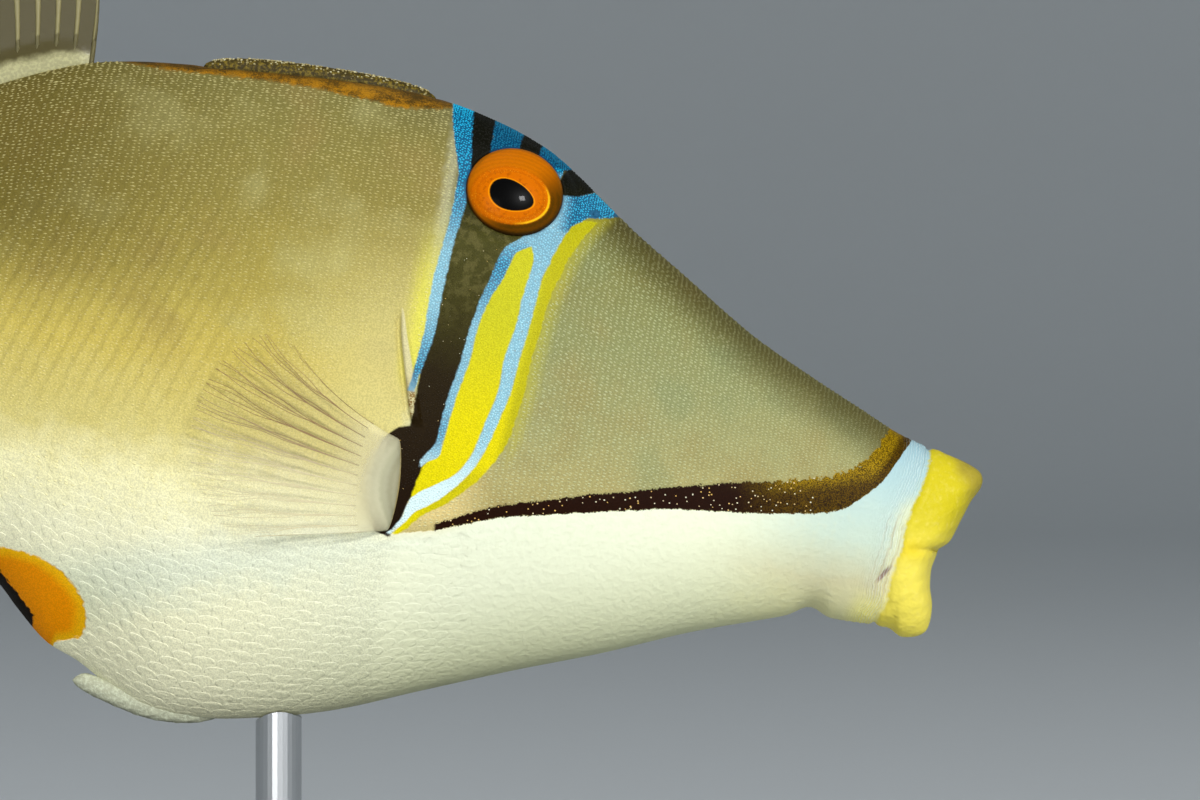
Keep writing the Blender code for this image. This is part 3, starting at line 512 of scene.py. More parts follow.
def markings(points):
    """Fields that the skin, the scales and the granules share, by name."""
    s, y, h = to_fish(points)

    def reach(bands, patches):
        """Distance into the nearest of some bands and patches."""
        depths = [band_distance(band, s, h) for band in bands]
        return np.max(depths + [outline_distance(patch, s, h) for patch in patches], axis=0)

    azure = np.maximum(ease(41.5, 44.5, h), 0.94 * ease(62.0, 58.0, s))
    # Past 1 the share is painted shade that deepens the blue on the crown
    azure = azure + 0.45 * ease(71.8, 71.3, s) * ease(40.6, 41.8, h)
    for band, table in zip(BLUE_BANDS, AZURE):
        azure = np.where(band_distance(band, s, h) > -0.4, linear(table, h), azure)
    crown = along(TOP, s) - h
    keel = h - along(BOTTOM, s)
    vent = VENT[3] * (1.0 - np.hypot((s - VENT[0]) / VENT[2], (h - VENT[1]) / VENT[3]))
    edge_s, edge_h, slope, end = VENT_EDGE
    vent = np.minimum(vent, h - edge_h + slope * (s - edge_s) + 2.5 * np.maximum(s - end, 0.0))
    first, last, high = VENT_OPENING
    opening = np.minimum(high - keel, np.minimum(s - first, last - s))
    behind = gill_distance(s, h)
    flap = np.minimum(-behind, behind + gill_flap_width(h))
    flap = np.minimum(flap, np.minimum(h - 4.6, GILL_TOP - h))
    return {
        "blue": np.clip(reach(BLUE_BANDS, BLUE_PATCHES), -9, 9),
        "yellow": np.clip(reach(YELLOW_BANDS, []), -9, 9),
        "dark": np.clip(reach(DARK_BANDS, [AXIL_PATCH]), -9, 9),
        "line_top": np.clip((along(CHEEK_LINE, s) - h) * LINE_SLANT, -30, 30),
        "line_low": np.clip((h - along(CHEEK_LINE, s, 2)) * LINE_SLANT, -30, 30),
        "vent": np.clip(vent, -9, 9),
        "vent_opening": np.clip(opening, -9, 9),
        "lip_root": np.clip(lip_distance(s, h), -12, 40),
        "flap": np.clip(flap, -9, 9),
        "azure": azure,
        "back_stripe": np.clip(along(BACK_STRIPE, s) - crown, -9, 9),
        "crown": np.clip(crown, -2, 60),
        "keel": np.clip(keel, -2, 60),
    }


def band_depth(fields):
    """Distance into the nearest band of any colour."""
    return np.maximum(np.maximum(fields["blue"], fields["dark"]), fields["yellow"])


def line_depth(fields):
    """Distance into the dark cheek line."""
    return np.minimum(fields["line_low"], fields["line_top"])


def skin_station(u):
    """Place along the body of a share of the skin's rows, past the lips."""
    return linear(STATION_ROWS, np.asarray(u, dtype=float) * SKIN_ROWS - LIP_ROWS)


def station_share(s):
    """The share of the skin's rows at a place along the body."""
    return (linear([stop[::-1] for stop in STATION_ROWS], s) + LIP_ROWS) / SKIN_ROWS


def bare_skin(u, v, inset):
    """The skin's smooth form at shares of its rows and columns, as s, y and h."""
    turn = 2.0 * math.pi * (v - 0.5)
    turn = turn + 0.18 * np.sin(2.0 * turn)
    middle = skin_station(u)
    slope = LIP_ROOT_SLOPE * (1.0 - ease(LIP_ROOT_S, 24.0, middle))
    s = middle
    for _ in range(3):
        y, h = body_section(s, turn, inset)
        s = middle + slope * (LIP_ROOT_H - h)

    share = np.clip(u * SKIN_ROWS / LIP_ROWS, 0.0, 1.0)
    ring = 1.0 - (1.0 - share) ** 2.2
    lip_y = y * ring
    swollen = ring * (1.0 + LOWER_LIP_SWELL) - LOWER_LIP_SWELL * ring ** 190
    lip_h = MOUTH_H + (h - MOUTH_H) * np.where(h < MOUTH_H, swollen, ring)
    back = LIP_ROOT_S + LIP_ROOT_SLOPE * (LIP_ROOT_H - lip_h)
    front = np.where(lip_h > -0.75, along(UPPER_LIP, lip_h), along(LOWER_LIP, lip_h))
    reach_up = along(TOP, 4.0) - LIP_ROOT_H
    reach_down = LIP_ROOT_H - LOWER_LIP_LEVEL
    reach = np.where(lip_h > LIP_ROOT_H, reach_up, reach_down)
    level = np.clip((lip_h - LIP_ROOT_H) / reach, -0.999, 0.999)
    wide = (along(HALF_WIDTH, 5.0) - inset) * np.sqrt(1.0 - level ** 2)
    aside = np.clip(np.abs(lip_y) / np.maximum(wide, 0.05), 0.0, 1.0)
    bulge = (1.0 - aside ** 2) ** LIP_BLUNTNESS * np.sqrt(np.maximum(1.0 - ring ** 30, 0.0))
    lips = u * SKIN_ROWS < LIP_ROWS
    s = np.where(lips, back - (back - front) * bulge, s)
    y = np.where(lips, lip_y, y)
    h = np.where(lips, lip_h, h)

    past = np.clip((u * SKIN_ROWS - (SKIN_ROWS - END_ROWS)) / END_ROWS, 0.0, 1.0)
    close = np.sqrt(np.maximum(1.0 - past ** 2, 0.0))
    centre = along(WIDEST_LEVEL, BODY_END)
    s = s + past * 1.0
    return s, y * close, centre + (h - centre) * close


def skin_relief(s, y, h):
    """Height of the skin's folds and hollows over its smooth form."""
    root = lip_distance(s, h)
    rise = -0.42 * hump(root, 0.2, 0.35)
    rise += 0.16 * hump(root, -1.0, 0.8)
    folds = np.sin(2.0 * math.pi * (root + 0.2 * np.sin(h * 0.8)) / 0.95)
    rise += 0.05 * folds * ease(0.6, 1.2, root) * (1.0 - ease(3.0, 6.0, root))
    slit = h - MOUTH_H - 0.05 * (6.0 - s)
    rise -= 0.18 * hump(slit, 0.0, 0.5) * (1.0 - ease(4.0, 6.2, s)) * ease(1.2, 2.2, s)
    rise += 0.08 * hump(np.abs(slit), 1.4, 0.8) * (1.0 - ease(3.5, 6.0, s))
    pit = (s - LIP_PIT[0]) + 0.6 * (h - LIP_PIT[1])
    rise -= 0.45 * hump(pit, 0.0, 0.3) * hump(h, LIP_PIT[1], 1.0)
    rise -= 0.5 * hump(s, 17.4, 1.6) * hump(h, -12.2, 3.0)
    for spot_s, spot_h in NOSTRILS:
        away = np.hypot(s - spot_s, h - spot_h)
        rise += 0.14 * hump(away, 0.45, 0.22) - 0.35 * hump(away, 0.0, 0.25)
    behind = gill_distance(s, h)
    window = ease(5.2, 6.8, h) * (1.0 - ease(18.5, 21.6, h))
    plateau = ease(-0.5, 0.2, behind + gill_flap_width(h))
    rise += 0.5 * plateau * (1.0 - ease(-0.15, 0.1, behind)) * window
    rise -= 0.5 * hump(behind, 0.4, 0.35) * window
    groove = ease(79.0, 82.5, s) * (1.0 - ease(108.0, 114.0, s)) * (h > 30)
    rise -= 0.7 * hump(y, 0.0, 1.5) * groove
    rise += 0.25 * hump(np.abs(y), 2.4, 0.9) * groove
    return rise


def seat_eyes(points):
    """Draw the skin round the eyes up to their rims and down behind them."""
    for side in (1, -1):
        local, away = eye_places(points, side)
        near = (away < 1.6) & (local[..., 2] > -9.0)
        hold = 1.0 - ease(1.02, 1.45, away)
        level = 0.15 * hump(away, 1.06, 0.05) - 0.06
        lifted = local[..., 2] * (1.0 - hold) + level * hold
        lifted -= 4.2 * (1.0 - ease(0.9, 1.0, away))
        local[..., 2] = lifted
        points = np.where(near[..., None], turned(local, eye_matrix(side)), points)
    return points


def skin_surface(u, v, inset):
    """The finished skin at shares of its rows and columns, in metres."""
    step_u, step_v = 0.3 / SKIN_ROWS, 0.3 / SKIN_COLUMNS

    def place(a, b):
        return np.stack(bare_skin(np.clip(a, 0.0, 1.0), b, inset), axis=-1)

    fore = np.array([-1.0, 1.0, 1.0])
    base = place(u, v)
    ahead = (place(u + step_u, v) - place(u - step_u, v)) * fore
    across = (place(u, v + step_v) - place(u, v - step_v)) * fore
    out = np.cross(across, ahead)
    size = np.linalg.norm(out, axis=-1, keepdims=True)
    out = np.where(size > 1e-9, out / np.maximum(size, 1e-9), 0.0)
    rise = skin_relief(base[..., 0], base[..., 1], base[..., 2])[..., None]
    base = base + out * rise * fore
    points = to_world(base[..., 0], base[..., 1], base[..., 2])
    return seat_eyes(points)


def skin_places(u, v, inset):
    """Where small forms stand: shares, points, backward, sideways and outward directions, spans."""
    step_u, step_v = 0.5 / SKIN_ROWS, 0.5 / SKIN_COLUMNS
    point = skin_surface(u, v, inset)
    rear = skin_surface(u + step_u, v, inset) - skin_surface(u - step_u, v, inset)
    girth = skin_surface(u, v + step_v, inset) - skin_surface(u, v - step_v, inset)
    length = np.linalg.norm(rear, axis=-1)
    rear /= length[:, None]
    out = np.cross(rear, girth)
    out /= np.linalg.norm(out, axis=-1, keepdims=True)
    centre = to_world(to_fish(point)[0], 0.0, 5.0)
    flip = np.sign(((point - centre) * out).sum(axis=-1, keepdims=True))
    out = out * flip
    aside = np.cross(out, rear)
    breadth = (girth * aside).sum(axis=-1)
    span = np.stack([length / (2.0 * step_u), breadth / (2.0 * step_v)], axis=-1)
    return u, v, point, rear, aside, out, span


# A point of the skin: its place as a vector and as numbers, and three noises
Spot = namedtuple("Spot", "place s y h blur fine speck")


class Term:
    """A number socket that takes part in sums, each of which adds a Math node."""

    def __init__(self, paint, socket):
        self.paint = paint
        self.socket = socket

    def maths(self, operation, *values):
        """A Math node on this operation's values."""
        return self.paint.add("ShaderNodeMath", {"operation": operation}, dict(enumerate(values)))

    def __add__(self, other):
        return self.maths("ADD", self, other)

    def __radd__(self, other):
        return self.maths("ADD", other, self)

    def __sub__(self, other):
        return self.maths("SUBTRACT", self, other)

    def __rsub__(self, other):
        return self.maths("SUBTRACT", other, self)

    def __mul__(self, other):
        return self.maths("MULTIPLY", self, other)

    def __rmul__(self, other):
        return self.maths("MULTIPLY", other, self)

    def __truediv__(self, other):
        return self.maths("DIVIDE", self, other)

    def __abs__(self):
        return self.maths("ABSOLUTE", self)

    def least(self, other):
        """The lesser of this and another."""
        return self.maths("MINIMUM", self, other)

    def most(self, other):
        """The greater of this and another."""
        return self.maths("MAXIMUM", self, other)

    def sine(self):
        """The sine of this, in radians."""
        return self.maths("SINE", self)


class Paint:
    """A material and short ways to add its nodes."""

    def __init__(self, name):
        self.material = bpy.data.materials.new(name)
        self.material.use_nodes = True
        self.tree = self.material.node_tree
        self.shader = self.tree.nodes["Principled BSDF"]

    def add(self, kind, settings=None, values=None, output=0):
        """Add a node with its settings and its sockets' values or links."""
        node = self.tree.nodes.new(kind)
        for name, setting in (settings or {}).items():
            if name == "stops":
                ramp = node.color_ramp
                while len(ramp.elements) < len(setting):
                    ramp.elements.new(0.5)
                for element, (place, colour) in zip(ramp.elements, setting):
                    element.position = place
                    element.color = (*colour, 1.0)
            else:
                setattr(node, name, setting)
        for key, value in (values or {}).items():
            self.join(node.inputs[key], value)
        return Term(self, node.outputs[output])

    def join(self, socket, value):
        """Link a term to a socket, or set the socket's own value."""
        if isinstance(value, Term):
            self.tree.links.new(value.socket, socket)
        elif isinstance(value, (tuple, list)) and len(value) == 3 and socket.type == "RGBA":
            socket.default_value = (*value, 1.0)
        else:
            socket.default_value = value

    def field(self, name):
        """One of the piece's own number attributes."""
        return self.add("ShaderNodeAttribute", {"attribute_name": name}, output="Fac")

    def step(self, value, low, high):
        """A smooth step from 0 at low to 1 at high."""
        return self.add(
            "ShaderNodeMapRange", {"interpolation_type": "SMOOTHSTEP"},
            {"Value": value, "From Min": low, "From Max": high})

    def blend(self, factor, first, second):
        """One colour mixed with another."""
        values = {0: factor, 6: first, 7: second}
        return self.add("ShaderNodeMix", {"data_type": "RGBA"}, values, output=2)

    def coats(self, colour, *rows):
        """A colour under coats of other colours, each row a cover and a colour."""
        for cover, coat in rows:
            colour = self.blend(cover, colour, coat)
        return colour

    def ramp(self, value, stops):
        """A colour that changes along a value from 0 to 1."""
        return self.add("ShaderNodeValToRGB", {"stops": stops}, {0: value})

    def split(self, vector):
        """The three numbers of a vector."""
        node = self.add("ShaderNodeSeparateXYZ", None, {0: vector}).socket.node
        return [Term(self, output) for output in node.outputs]

    def spots(self, place, scale, detail=2.0, roughness=0.5):
        """Noise from 0 to 1 at a place."""
        return self.add(
            "ShaderNodeTexNoise", None,
            {"Vector": place, "Scale": scale, "Detail": detail, "Roughness": roughness})

    def bump(self, height, distance, strength=1.0):
        """A Bump node over a height in metres' worth of distance."""
        values = {"Height": height, "Distance": distance, "Strength": strength}
        return self.add("ShaderNodeBump", None, values)

    def finish(self, specular=None, **sockets):
        """Set the surface shader's sockets by name."""
        if specular is not None:
            self.shader.inputs["Specular IOR Level"].default_value = specular
        for name, value in sockets.items():
            self.join(self.shader.inputs[name.replace("_", " ").title()], value)
        return self.material


def fish_place(paint):
    """The fish's own coordinates in millimetres, as a vector of s, y and h."""
    place = paint.add("ShaderNodeTexCoord", output="Object")
    return paint.add(
        "ShaderNodeMapping", {"vector_type": "TEXTURE"},
        {"Vector": place, "Location": tuple(MOUTH), "Rotation": (0.0, PITCH, 0.0),
         "Scale": (-MM, MM, MM)})


def skin_spot(paint):
    """Where a point of the skin is, and the three noises that its markings share."""
    place = fish_place(paint)
    blur = paint.spots(place, BLUR_SCALE, 3.0) - 0.5
    fine = paint.spots(place, FINE_SCALE, 2.0) - 0.5
    return Spot(place, *paint.split(place), blur, fine, paint.spots(place, SPECK_SCALE, 1.0))


def trunk_colour(paint, spot):
    """Cream belly, yellow flank and olive back, clouded above; painted shade at the rear and crown."""
    step, s, h = paint.step, spot.s, spot.h
    level = (h + 40.0 + (s - 105.0) * 0.03 + spot.blur * 7.0) / 93.0
    cloud = paint.spots(spot.place, CLOUD_SCALE, 2.0) - 0.5
    upper_side = step(h, 4.0, 16.0)
    by_gill = step(s, 99.0, 80.0) * step(h, 36.0, 16.0) * step(h, -10.0, 2.0)
    # Painted shade along the crown behind the head, where the back turns away from the light
    crown_shade = step(paint.field("crown"), 9.0, 1.0) * step(s, 96.0, 76.0)
    return paint.coats(
        paint.ramp(level, TRUNK_STOPS),
        (step(cloud, 0.02, 0.20) * 0.35 * upper_side, (0.27, 0.19, 0.06)),
        (step(cloud, -0.02, -0.20) * 0.30 * upper_side, (0.46, 0.44, 0.19)),
        # Painted shade: the upper rear flank darkened, as the light falls off towards the tail
        (step(s, 98.0, 138.0) * step(h, 10.0, 28.0) * 0.8, (0.115, 0.088, 0.016)),
        (crown_shade * 0.45, (0.12, 0.11, 0.045)),
        (by_gill * 0.5, (0.66, 0.60, 0.26)))


def head_colour(paint, spot, forehead_shade):
    """Tan and olive cheek, with painted shade darkening it towards the top of the head."""
    cloud = paint.spots(spot.place, CLOUD_SCALE, 2.0) - 0.5
    return paint.coats(
        paint.ramp((spot.h + 1.0 + spot.s * 0.06 + spot.blur * 6.0) / 48.0, HEAD_STOPS),
        (paint.step(cloud, 0.0, 0.18) * 0.4, (0.30, 0.23, 0.075)),
        (paint.step(cloud, 0.0, -0.18) * 0.35, (0.20, 0.25, 0.12)),
        (forehead_shade * 0.85, (0.070, 0.056, 0.012)))


def throat_colour(paint, spot):
    """White throat and a pale blue snout with a yellow chin."""
    step, s, h, blur = paint.step, spot.s, spot.h, spot.blur
    chin = step(s, 13.5, 9.0) * step(h + blur * 2.0, -6.5, -11.5)
    snout = paint.ramp((h + 12.5 + blur * 3.0) / 26.0, SNOUT_STOPS)
    snout = paint.blend(chin * 0.9, snout, (0.93, 0.85, 0.21))
    throat = paint.ramp(paint.field("keel") / 40.0, THROAT_STOPS)
    return paint.blend(step(s + blur * 6.0, 36.0, 14.0), throat, snout)


def stripe_and_flap(paint, spot):
    """Coats of the golden stripe along the back and the gill opening's flap."""
    step, fine, speck = paint.step, spot.fine, spot.speck
    stripe = step(paint.field("back_stripe") + fine, -0.35, 0.4)
    patchy = step(speck * 0.5 + spot.blur + fine * 0.4, 0.05, 0.45)
    golden = paint.coats(
        paint.blend(patchy, (0.07, 0.030, 0.0005), (0.42, 0.18, 0.001)),
        # Painted shadow: the stripe darkens along its top edge, towards the crown
        (step(paint.field("crown"), 1.6, 0.2) * 0.7, (0.03, 0.015, 0.001)))
    flap_spots = step(speck + fine, 0.42, 0.58) * step(spot.h, 13.0, 8.5)
    flap_colour = paint.blend(flap_spots, (0.62, 0.56, 0.29), (0.20, 0.095, 0.012))
    return (stripe * 0.9, golden), (step(paint.field("flap"), -0.12, 0.12), flap_colour)


def cheek_line(paint, spot, low_edge):
    """Cover and colour of the dark line along the cheek, rough and golden at its front."""
    step, fine, speck = paint.step, spot.fine, spot.speck
    front = step(spot.s + spot.blur * 6.0, 32.0, 19.0)
    top_edge = paint.field("line_top") + fine * (0.6 + front * 2.4) + (speck - 0.5) * 0.8
    line = step((low_edge + (speck - 0.5) * 0.7).least(top_edge), -0.08, 0.10)
    line = line * step(spot.s + fine * 0.8, 70.7, 70.2)
    grains = step(paint.spots(spot.place, 7.0, 1.0) + fine * 0.3, 0.40, 0.62)
    golden = paint.blend(grains, (0.085, 0.048, 0.001), (0.38, 0.235, 0.003))
    rough_front = paint.blend(grains, (0.022, 0.010, 0.001), (0.105, 0.055, 0.001))
    dark_line = paint.blend(front, (0.014, 0.003, 0.0003), rough_front)
    depth = paint.field("line_top") + fine * 2.2 + (speck - 0.5) * 2.0
    inner = step(depth - step(spot.s, 16.0, 9.5) * 3.6, 2.4, 0.0) * front
    return line, paint.blend(inner, dark_line, golden)


def yellow_coats(paint, spot):
    """Coats of the yellow bands and of the glow ahead of them."""
    step, s, h = paint.step, spot.s, spot.h
    yellow = step(paint.field("yellow") + spot.fine * 0.5, -0.20, 0.16)
    outer = step(s + (h - 20.0) * 0.1, 62.4, 60.9) * step(h, -3.0, 2.0)
    outer = outer.most(step(s + h * 0.85, 67.6, 66.4) * step(h, 2.0, -1.0) * 0.6)
    colour = paint.coats(
        paint.blend(step(h, 4.0, 24.0), (0.70, 0.605, 0.001), (0.52, 0.50, 0.014)),
        (outer * 0.85, (0.44, 0.40, 0.006)))
    glow = step(paint.field("yellow"), -2.6, -0.2) * step(s, 63.0, 61.0) * (1.0 - yellow)
    return (yellow, colour), (glow * 0.5, (0.46, 0.42, 0.03))


def dark_coat(paint, spot):
    """Cover and colour of the dark bands, mottled below the eye."""
    step, h = paint.step, spot.h
    mottle = step(paint.spots(spot.place, 0.8, 3.0, 0.6), 0.46, 0.62)
    mottle = mottle * step(h, 17.0, 29.0) * step(h, 37.0, 34.0)
    colour = paint.ramp((h + 4.0 + spot.blur * 5.0) / 56.0, DARK_STOPS)
    dark = step(paint.field("dark") + spot.fine * 0.5, -0.45, -0.10)
    return dark, paint.blend(mottle * 0.6, colour, (0.12, 0.105, 0.030))


def blue_coat(paint, spot, tones):
    """Cover and colour of the blue bands, from a pale and a deep tone, with painted shade on the
    crown.
    """
    step = paint.step
    azure = paint.field("azure")
    whitish = step(spot.h, 6.0, -4.0)
    dots = step(spot.speck, 0.58, 0.66) * (0.7 - whitish * 0.6)
    colour = paint.coats(
        paint.blend(azure, *tones),
        # Painted shade: past 1 the share deepens the blue towards navy on the crown
        (step(azure, 1.0, 1.3) * 0.7, (0.001, 0.035, 0.09)),
        (whitish * (1.0 - azure), (0.66, 0.82, 0.82)),
        (dots * (1.0 - azure), (0.20, 0.22, 0.20)))
    return step(paint.field("blue") + spot.fine * 0.45, -0.16, 0.16), colour


def vent_coats(paint, spot):
    """Coats of the orange round the vent and of the dark opening."""
    step, fine = paint.step, spot.fine
    vent = step(paint.field("vent") + fine * 0.8, -0.15, 0.15)
    rim = step(paint.field("vent") + spot.blur, 0.2, 1.8)
    opening = step(paint.field("vent_opening") + fine * 1.2, -0.15, 0.15)
    orange = paint.blend(rim, (0.88, 0.46, 0.004), (0.84, 0.28, 0.0))
    return (vent, orange), (opening, (0.008, 0.005, 0.002))


def lip_coats(paint, spot):
    """Coats of the pale fringe behind the lips, the lips and the pit at their corner."""
    step, h, fine = paint.step, spot.h, spot.fine
    root = paint.field("lip_root")
    fade = step(root + fine * 1.4, 2.6, 0.2) * step(h, 7.5, 4.0)
    crease_shade = step(abs(h + 0.9), 2.2, 0.2) * step(spot.s, 1.5, 5.0)
    tip = step(h, 5.0, 10.0) * step(abs(spot.y), 5.6, 3.4) * step(spot.s, 1.6, -0.6)
    colour = paint.coats(
        paint.blend(step(h, 6.0, -5.0), (0.58, 0.485, 0.016), (0.82, 0.69, 0.095)),
        (step(fine, 0.0, 0.35) * 0.25, (0.86, 0.74, 0.22)),
        (crease_shade * 0.6, (0.74, 0.56, 0.012)),
        (tip * 0.7, (0.30, 0.23, 0.04)))
    across = abs((spot.s - LIP_PIT[0]) + (h - LIP_PIT[1]) * 0.6)
    pit = step(across, 0.55, 0.12) * step(abs(h - LIP_PIT[1]), 1.7, 0.5)
    lip = step(root + fine * 0.9 + spot.blur * 0.8, 0.22, -0.34)
    return (fade * 0.42, (0.82, 0.75, 0.34)), (lip, colour), (pit * 0.8, (0.22, 0.12, 0.12))


def fine_folds(paint, spot):
    """Streaks and wrinkles behind the lips, and the slanting seams of the flank."""
    step, s, h, fine = paint.step, spot.s, spot.h, spot.fine
    root = paint.field("lip_root")
    streak = (root * 17.0 + fine * 9.0).sine() * step(root, 6.0, 1.5) * step(root, 0.1, 0.5)
    wrinkle = step((root * 5.4 + h * 0.4 + fine * 3.0).sine(), 0.45, 1.0) * step(root, 4.0, 1.2)
    wrinkle = wrinkle * step(root, 0.0, 0.4) * step(abs(h + 2.5), 8.0, 4.0)
    lean = (s + h * SEAM_LEAN + fine * 0.9 + spot.blur * 1.2) * (2.0 * math.pi / SEAM_SPACING)
    seam = step(lean.sine(), 0.2, 1.0) * step(h, -4.0, 8.0)
    return streak, wrinkle, seam * (0.55 + 0.45 * step(h, 34.0, 20.0)) * step(s, 92.0, 112.0)


def skin_material(name, raised=0.0, shine=0.05):
    """The fish's colours; raised is how far a granule's pale colour, partly painted glint, covers
    them.
    """
    paint = Paint(name)
    step = paint.step
    spot = skin_spot(paint)
    place, s, _, h, blur, fine, speck = spot
    low_edge = paint.field("line_low") + fine * 0.5
    above = step(low_edge, -0.1, 0.1)
    # Painted shade along the head's top edge, where it turns away from the light
    forehead_shade = step(paint.field("crown") + blur * 2.0, 9.0, 0.5)
    behind = step(s + fine * 1.5, *HEAD_END)
    flank = behind * step(h + blur * 3.0 + (s - 77.0) * 0.25, -12.0, -6.0)
    below_fin = step(h + (s - 60.0) * 0.35 + blur * 8.0, -4.0, -12.0) * step(s, 60.0, 104.0)
    peach = step(paint.field("line_low"), -1.5, 2.5) * step(s, 62.0, 70.0)
    peach = peach * step(h, 6.0, -3.0) * step(s, 79.0, 75.0)
    beside = step(s, 79.6, 76.4) * step(h, 9.0, 14.0) * step(h, 36.0, 21.0) * step(s, 74.0, 75.5)
    line = cheek_line(paint, spot, low_edge)
    yellow, glow = yellow_coats(paint, spot)
    dark = dark_coat(paint, spot)
    blue = blue_coat(paint, spot, RAISED_BLUES if raised else SKIN_BLUES)
    vent, opening = vent_coats(paint, spot)
    fade, lip, pit = lip_coats(paint, spot)
    colour = paint.coats(
        throat_colour(paint, spot),
        (above * (1.0 - behind), head_colour(paint, spot, forehead_shade)),
        (flank.most(below_fin), trunk_colour(paint, spot)),
        (peach * 0.7, (0.80, 0.62, 0.26)),
        (beside * 0.85, (0.68, 0.64, 0.07)),
        *stripe_and_flap(paint, spot), line, yellow, glow, dark, blue, vent, opening, fade, lip, pit)

    lip = lip[0]
    if raised:
        # A granule's pale colour is partly its own tone and partly a painted glint, varied per granule
        light = paint.blend(behind, (0.58, 0.61, 0.36), (0.69, 0.62, 0.27))
        covered = dark[0].most(line[0]).most(blue[0]).most(yellow[0])
        glisten = step(paint.spots(place, 1.7, 1.0), 0.30, 0.68)
        amount = (1.0 - covered) * raised * (0.35 + glisten * 0.5 + speck * 0.5)
        # Fewer pale glints where the head's top edge lies in painted shade
        amount = amount * (1.0 - forehead_shade * (1.0 - behind) * 0.8)
        colour = paint.blend(amount, colour, light)
    else:
        shade = paint.blend(0.4, colour, (0.0, 0.0, 0.0))
        upper = above.most(behind) * (1.0 - lip)
        # Painted highlight: the edge field marks each plate's upper rim, which is painted lighter
        edge = paint.field("edge") * step(paint.field("keel"), 1.0, 6.0) * step(h, -10.0, -20.0)
        colour = paint.coats(
            colour,
            (step(speck, 0.62, 0.38) * 0.45 * upper, shade),
            (edge * 0.24, (0.94, 0.95, 0.82)))

    streak, wrinkle, seam = fine_folds(paint, spot)
    seam = seam * behind
    pebble = paint.spots(place, 1.1, 1.0) * (1.0 - above) * (1.0 - flank)
    pebble = pebble * (1.0 - vent[0].most(opening[0]))
    pale_pebble = step(pebble, 0.5, 0.68) * step(paint.field("lip_root"), 4.0, 10.0)
    colour = paint.coats(
        colour,
        (step(streak, 0.35, 0.95) * 0.3, (0.78, 0.86, 0.80)),
        (wrinkle * 0.32, (0.42, 0.29, 0.15)),
        (seam * 0.13, (0.03, 0.02, 0.005)),
        (pale_pebble * 0.14, (0.62, 0.64, 0.44)))

    grain = paint.spots(place, 5.5, 3.0, 0.6)
    crease = (h * 2.6 + s * 1.5 + fine * 5.0).sine() * lip
    height = grain * (1.0 - lip * 0.7) * 0.6 + streak * 0.5 - seam * 0.4 + pebble * 1.8
    height = height + crease * 0.35 - wrinkle * 0.9
    normal = paint.bump(height, bpy.context.scene.picassofish_skin.grain * MM, 0.6)
    rough = 0.40 + grain * 0.2 - lip * 0.1
    return paint.finish(shine, base_color=colour, roughness=rough, normal=normal)


def eye_material():
    """Orange iris, black egg-shaped pupil and a wet clear surface, with painted shade on the outer
    ring.
    """
    look = bpy.context.scene.picassofish_eyes
    paint = Paint("eye")
    step = paint.step
    disc = paint.add("ShaderNodeUVMap", {"uv_map": "disc"})
    x, y = [part * EYE_DISC - EYE_DISC / 2.0 for part in paint.split(disc)[:2]]
    wave = paint.spots(disc, 60.0, 2.0) - 0.5

    def ring(centre, radii, taper=0.0, slant=0.0):
        """How far out a point is, as a share of an oval's size."""
        across = (x - centre[0]) / radii[0]
        high = (y - centre[1] + (x - centre[0]) * slant) / (radii[1] * (1.0 - across * taper))
        return paint.add("ShaderNodeMath", {"operation": "SQRT"}, {0: across * across + high * high})

    edge = ring((0.0, 0.0), (EYE_LENGTH / 2.0, EYE_DEPTH / 2.0))
    iris = ring(look.iris_centre, look.iris_radii)
    pupil = ring(look.pupil_centre, look.pupil_radii, 0.2, 0.13)
    lines = ((iris * 40.0 + wave * 7.0).sine() * 0.5 + 0.5) * step(iris, 0.6, 0.85)
    # Painted shade: the outer ring darkens towards its lower right
    lower = step(x * 0.9 - y, -1.5, 6.0)
    band = step(abs(edge - 0.93), 0.06, 0.0) * step(y, 0.0, 3.0)
    outer = paint.coats(
        paint.blend(lower, (0.50, 0.13, 0.0008), (0.075, 0.030, 0.001)),
        (lines * 0.25, (0.22, 0.060, 0.001)),
        (band * 0.5, (0.22, 0.085, 0.004)))
    mottle = step(paint.spots(disc, 34.0, 3.0), 0.52, 0.68) * step(pupil, 1.9, 1.2)
    bright = step(abs(iris - 0.96), 0.05, 0.01) * step(x * 0.9 - y * 0.5, 2.5, 5.0)
    glint = step(paint.spots(disc, 130.0, 1.0), 0.64, 0.72) * step(iris, 0.6, 0.95)
    inner = paint.coats(
        paint.blend(lines * 0.45, (0.55, 0.125, 0.0005), (0.36, 0.068, 0.001)),
        (mottle * 0.5, (0.22, 0.040, 0.001)),
        (step(pupil, 1.10, 1.03) * 0.8, (0.80, 0.27, 0.002)),
        (bright * 0.8, (0.90, 0.52, 0.01)),
        (glint * 0.6, (0.88, 0.55, 0.03)))
    colour = paint.coats(
        paint.blend(step(iris + wave * 0.04, 1.02, 0.96), outer, inner),
        # Painted shade: a dark line in the crease where the skin meets the eye
        (step(edge, 0.955, 1.0) * 0.9, (0.025, 0.013, 0.003)),
        (step(pupil + wave * 0.03, 1.03, 0.97), (0.002, 0.002, 0.002)))
    paint.shader.inputs["Coat Weight"].default_value = 0.02
    paint.shader.inputs["Coat Roughness"].default_value = 0.03
    return paint.finish(
        0.015, base_color=colour, roughness=0.3, normal=paint.bump(lines, 0.00002, 0.4))


def new_mesh(name, mesh, material):
    """A smooth piece of one material from a finished bmesh."""
    data = bpy.data.meshes.new(name)
    mesh.to_mesh(data)
    mesh.free()
    data.shade_smooth()
    data.materials.append(material)
    piece = bpy.data.objects.new(name, data)
    bpy.context.scene.collection.objects.link(piece)
    return piece


